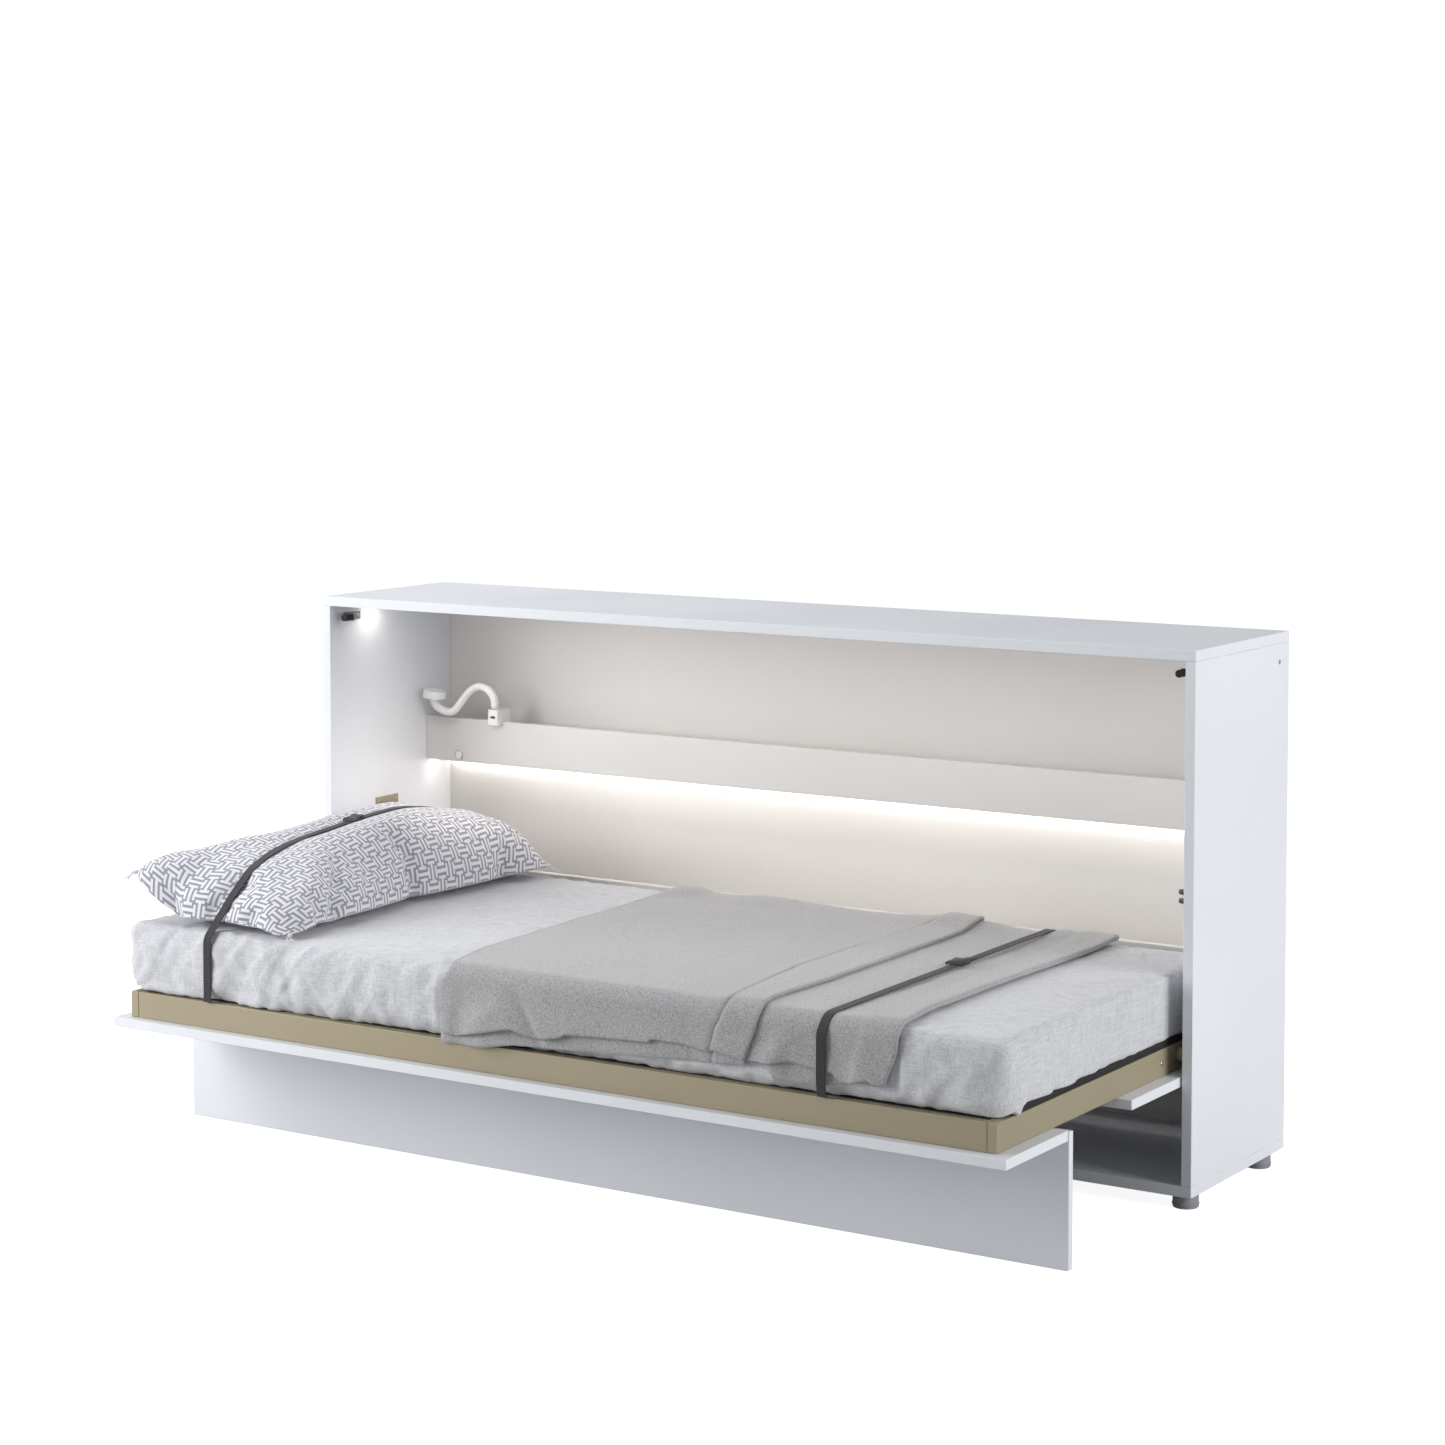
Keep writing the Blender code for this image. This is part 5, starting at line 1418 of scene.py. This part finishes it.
def build_feet():
    """Rings for the height adjusters between the feet and the cabinet's bottom."""
    mesh = bmesh.new()
    for where in ("front_left", "front_right", "back_left", "back_right"):
        low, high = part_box("foot_" + where)
        centre = ((low.x + high.x) / 2, (low.y + high.y) / 2)
        add_turned(
            mesh,
            (*centre, low.z + 0.006),
            (0, 0, 1),
            [(0.0256, 0.0), (0.0262, 0.0006), (0.0262, 0.0024), (0.0256, 0.0030)],
            40,
        )
    piece("foot_rings", mesh, "grey_plastic", "cabinet")


def build_lights():
    """Lit lenses in the two spots, the strip light's end caps and its mounting clips."""
    for label, side in SIDES:
        low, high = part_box("led_spot_" + label)
        centre = ((low.x + high.x) / 2, (low.y + high.y) / 2)
        mesh = bmesh.new()
        lens = [(0.0225, -0.0002), (0.0225, 0.0006), (0.0215, 0.0012)]
        add_turned(mesh, (*centre, low.z), (0, 0, -1), lens, 40)
        piece("spot_lens_" + label, mesh, "spot_light", "cabinet")
        mesh = bmesh.new()
        trim = [(0.0285, -0.0002), (0.0285, 0.0008), (0.0270, 0.0016), (0.0240, 0.0016), (0.0232, 0.0004)]
        add_turned(mesh, (*centre, low.z), (0, 0, -1), trim, 40)
        piece("spot_trim_" + label, mesh, "aluminium", "cabinet")
    low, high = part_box("led_profile")
    mesh = bmesh.new()
    for side in (-1, 1):
        x = side * high.x
        ends = sorted((x - side * 0.0002, x + side * 0.0014))
        add_block(mesh, (ends[0], low.y, low.z), (ends[1], high.y, high.z), 0.0004, 1)
    for index in range(6):
        x = low.x + 0.12 + index * (high.x - low.x - 0.24) / 5
        for y_from, y_to in ((low.y - 0.0008, low.y + 0.0002), (high.y - 0.0002, high.y + 0.0008)):
            add_block(mesh, (x - 0.006, y_from, low.z + 0.0012), (x + 0.006, y_to, high.z), 0.0002, 1)
    piece("strip_end_caps", mesh, "grey_plastic", "cabinet")


def build_button_ring():
    """A thin metal ring round the touch button."""
    low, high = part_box("touch_button")
    centre = ((low.x + high.x) / 2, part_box("upper_shelf_rail")[0].y, (low.z + high.z) / 2)
    mesh = bmesh.new()
    rings = [(0.0103, -0.0001), (0.0118, 0.0), (0.0118, 0.0007), (0.0112, 0.0011), (0.0103, 0.0011)]
    segments = 40
    loops = []
    for radius, along in rings:
        loop = []
        for index in range(segments):
            angle = 2 * math.pi * index / segments
            offset = Vector((radius * math.cos(angle), -along, radius * math.sin(angle)))
            loop.append(mesh.verts.new(Vector(centre) + offset))
        loops.append(loop)
    for lower, upper in zip(loops, loops[1:] + loops[:1]):
        for index in range(segments):
            after = (index + 1) % segments
            mesh.faces.new((lower[index], lower[after], upper[after], upper[index]))
    piece("button_ring", mesh, "aluminium", "cabinet")


def build_lamp_details():
    """The tongue and the metal rim of the lamp's USB socket."""
    low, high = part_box("lamp_clamp")
    slot_x, slot_z = low.x + 0.0065, 0.7725
    mesh = bmesh.new()
    tongue_start = (slot_x + 0.0012, low.y + 0.0012, slot_z + 0.0021)
    add_block(mesh, tongue_start, (slot_x + 0.0113, low.y + 0.0095, slot_z + 0.0036))
    piece("usb_tongue", mesh, "black_rubber", "cabinet")
    mesh = bmesh.new()
    edge = 0.0005
    for x_from, x_to, z_from, z_to in (
        (slot_x - edge, slot_x + 0.0125 + edge, slot_z - edge, slot_z + 0.0002),
        (slot_x - edge, slot_x + 0.0125 + edge, slot_z + 0.0048, slot_z + 0.0050 + edge),
        (slot_x - edge, slot_x + 0.0002, slot_z + 0.0002, slot_z + 0.0048),
        (slot_x + 0.0123, slot_x + 0.0125 + edge, slot_z + 0.0002, slot_z + 0.0048),
    ):
        add_block(mesh, (x_from, low.y - 0.0004, z_from), (x_to, low.y + 0.0002, z_to), 0.00012, 1)
    piece("usb_rim", mesh, "bright_steel", "cabinet")


def build_strut_details():
    """Spring clips round the studs at the gas cylinders' upper ends, and caps on the studs at the rods' feet.
    """
    for label, side in SIDES:
        low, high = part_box("strut_cylinder_" + label)
        x = (low.x + high.x) / 2
        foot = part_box("strut_rod_" + label)
        top = Vector((x, high.y - 0.0085, high.z - 0.0085))
        mesh = bmesh.new()
        add_turned(
            mesh,
            (x - side * 0.0068, top.y, top.z),
            (-side, 0, 0),
            [(0.0062, -0.0002), (0.0062, 0.0006), (0.0048, 0.0011)],
        )
        piece("strut_clip_" + label, mesh, "bright_steel", "strut_cylinder_" + label)
        mesh = bmesh.new()
        add_turned(
            mesh,
            (side * (abs(x) + 0.0058), foot[0].y + 0.0076, foot[0].z + 0.0076),
            (side, 0, 0),
            [(0.0050, -0.0002), (0.0050, 0.0004), (0.0036, 0.0010)],
        )
        piece("strut_foot_cap_" + label, mesh, "bright_steel", "strut_rod_" + label)


# ----------------------------------------------------------------------------------------------------- stage


def shader_node(tree, kind, **values):
    """Adds a shader node, with values on its named sockets."""
    made = tree.nodes.new("ShaderNode" + kind)
    for socket, value in values.items():
        made.inputs[socket].default_value = value
    return made


def camera_choice(tree, seen, otherwise):
    """Shows one shader to the camera's own rays and another to all the rest."""
    rays = shader_node(tree, "LightPath")
    choice = shader_node(tree, "MixShader")
    tree.links.new(rays.outputs["Is Camera Ray"], choice.inputs[0])
    tree.links.new(otherwise.outputs[0], choice.inputs[1])
    tree.links.new(seen.outputs[0], choice.inputs[2])
    return choice


def build_surround():
    """White to the camera, and a weak cool fill light on the object."""
    world = bpy.data.worlds.new("studio")
    bpy.context.scene.world = world
    world.use_nodes = True
    tree = world.node_tree
    tree.nodes.clear()
    seen = shader_node(tree, "Background", Color=(1.0, 1.0, 1.0, 1.0), Strength=1.0)
    fill = shader_node(tree, "Background", Color=(0.95, 0.97, 1.0, 1.0), Strength=0.30)
    output = shader_node(tree, "OutputWorld")
    tree.links.new(camera_choice(tree, seen, fill).outputs[0], output.inputs[0])


def build_floor():
    """A plain pale floor that runs out of sight; it shows almost white, and throws back less light
    than that."""
    look = bpy.data.materials.new("pale_floor")
    look.use_nodes = True
    tree = look.node_tree
    shader = tree.nodes["Principled BSDF"]
    shader.inputs["Base Color"].default_value = (0.55, 0.55, 0.55, 1.0)
    shader.inputs["Roughness"].default_value = 0.7
    shader.inputs["Specular IOR Level"].default_value = 0.1
    glow = shader_node(tree, "Emission", Strength=0.90)
    dark = shader_node(tree, "Emission", Strength=0.0)
    total = shader_node(tree, "AddShader")
    tree.links.new(shader.outputs[0], total.inputs[0])
    tree.links.new(camera_choice(tree, glow, dark).outputs[0], total.inputs[1])
    tree.links.new(total.outputs[0], tree.nodes["Material Output"].inputs["Surface"])
    mesh = bmesh.new()
    bmesh.ops.create_circle(mesh, cap_ends=True, segments=96, radius=60.0)
    data = bpy.data.meshes.new("floor")
    mesh.to_mesh(data)
    mesh.free()
    data.materials.append(look)
    floor = bpy.data.objects.new("floor", data)
    floor.location.z = cad_bounds[0].z - 0.0004
    bpy.context.scene.collection.objects.link(floor)


WARM = (1.0, 0.95, 0.91)
WARMER = (1.0, 0.92, 0.84)
STRIP_WHITE = (1.0, 0.97, 0.94)
LIGHTS = {
    "side_right": dict(place=(6.5, 0.4, 2.1), aim=(0.5, 0.2, 0.6), size=(3.5, 3.5), power=258.0),
    "overhead_left": dict(place=(-2.6, 1.3, 4.6), aim=(-0.5, 0.2, 0.8), size=(4.2, 4.2), power=140.0),
    "key_front": dict(place=(-3.0, -3.1, 1.9), aim=(-0.4, -0.2, 0.4), size=(2.6, 2.6), power=152.0),
    "under_top": dict(
        place=(0.0, CABINET_FRONT + 0.09, 1.040), aim=(0.0, CABINET_FRONT + 0.30, 0.70), size=(1.9, 0.05),
        power=2.0, colour=WARM,
    ),
    "wall_wash": dict(
        place=(0.0, 0.552, 0.658), aim=(0.0, 0.564, 0.655), size=(2.04, 0.012), power=1.05,
        colour=STRIP_WHITE,
    ),
    "bay_left": dict(
        place=(-0.55, 0.10, 0.82), aim=(-1.034, 0.30, 0.56), size=(0.30, 0.30), power=0.28, colour=WARMER,
        spread_deg=70.0,
    ),
}


def soft_light(name, place, aim, size, power, colour=(1.0, 1.0, 1.0), spread_deg=180.0):
    light = bpy.data.lights.new(name, "AREA")
    light.shape = "RECTANGLE"
    light.size, light.size_y = size
    light.energy = power
    light.color = colour
    light.spread = math.radians(spread_deg)
    obj = bpy.data.objects.new(name, light)
    obj.location = place
    obj.rotation_euler = (Vector(aim) - Vector(place)).to_track_quat("-Z", "Y").to_euler()
    obj.visible_camera = False
    bpy.context.scene.collection.objects.link(obj)


def build_stage():
    """A plain pale floor, a white surround and soft lights."""
    bpy.context.scene.view_settings.view_transform = "Standard"
    build_surround()
    build_floor()
    for name, settings in LIGHTS.items():
        soft_light(name, **settings)


build_camera()
build_stage()
dress_cad_nodes()
mattress_piece = build_mattress()
pillow_piece = build_pillow()
build_corner_ties(pillow_piece)
throw_piece = build_throw()
build_straps(mattress_piece, pillow_piece, throw_piece)
build_slat_holders()
build_screws()
build_frame_details()
# the black strip of painted shade under the sheet's foot end
build_painted_shade_strip()
build_feet()
build_lights()
build_button_ring()
build_lamp_details()
build_strut_details()
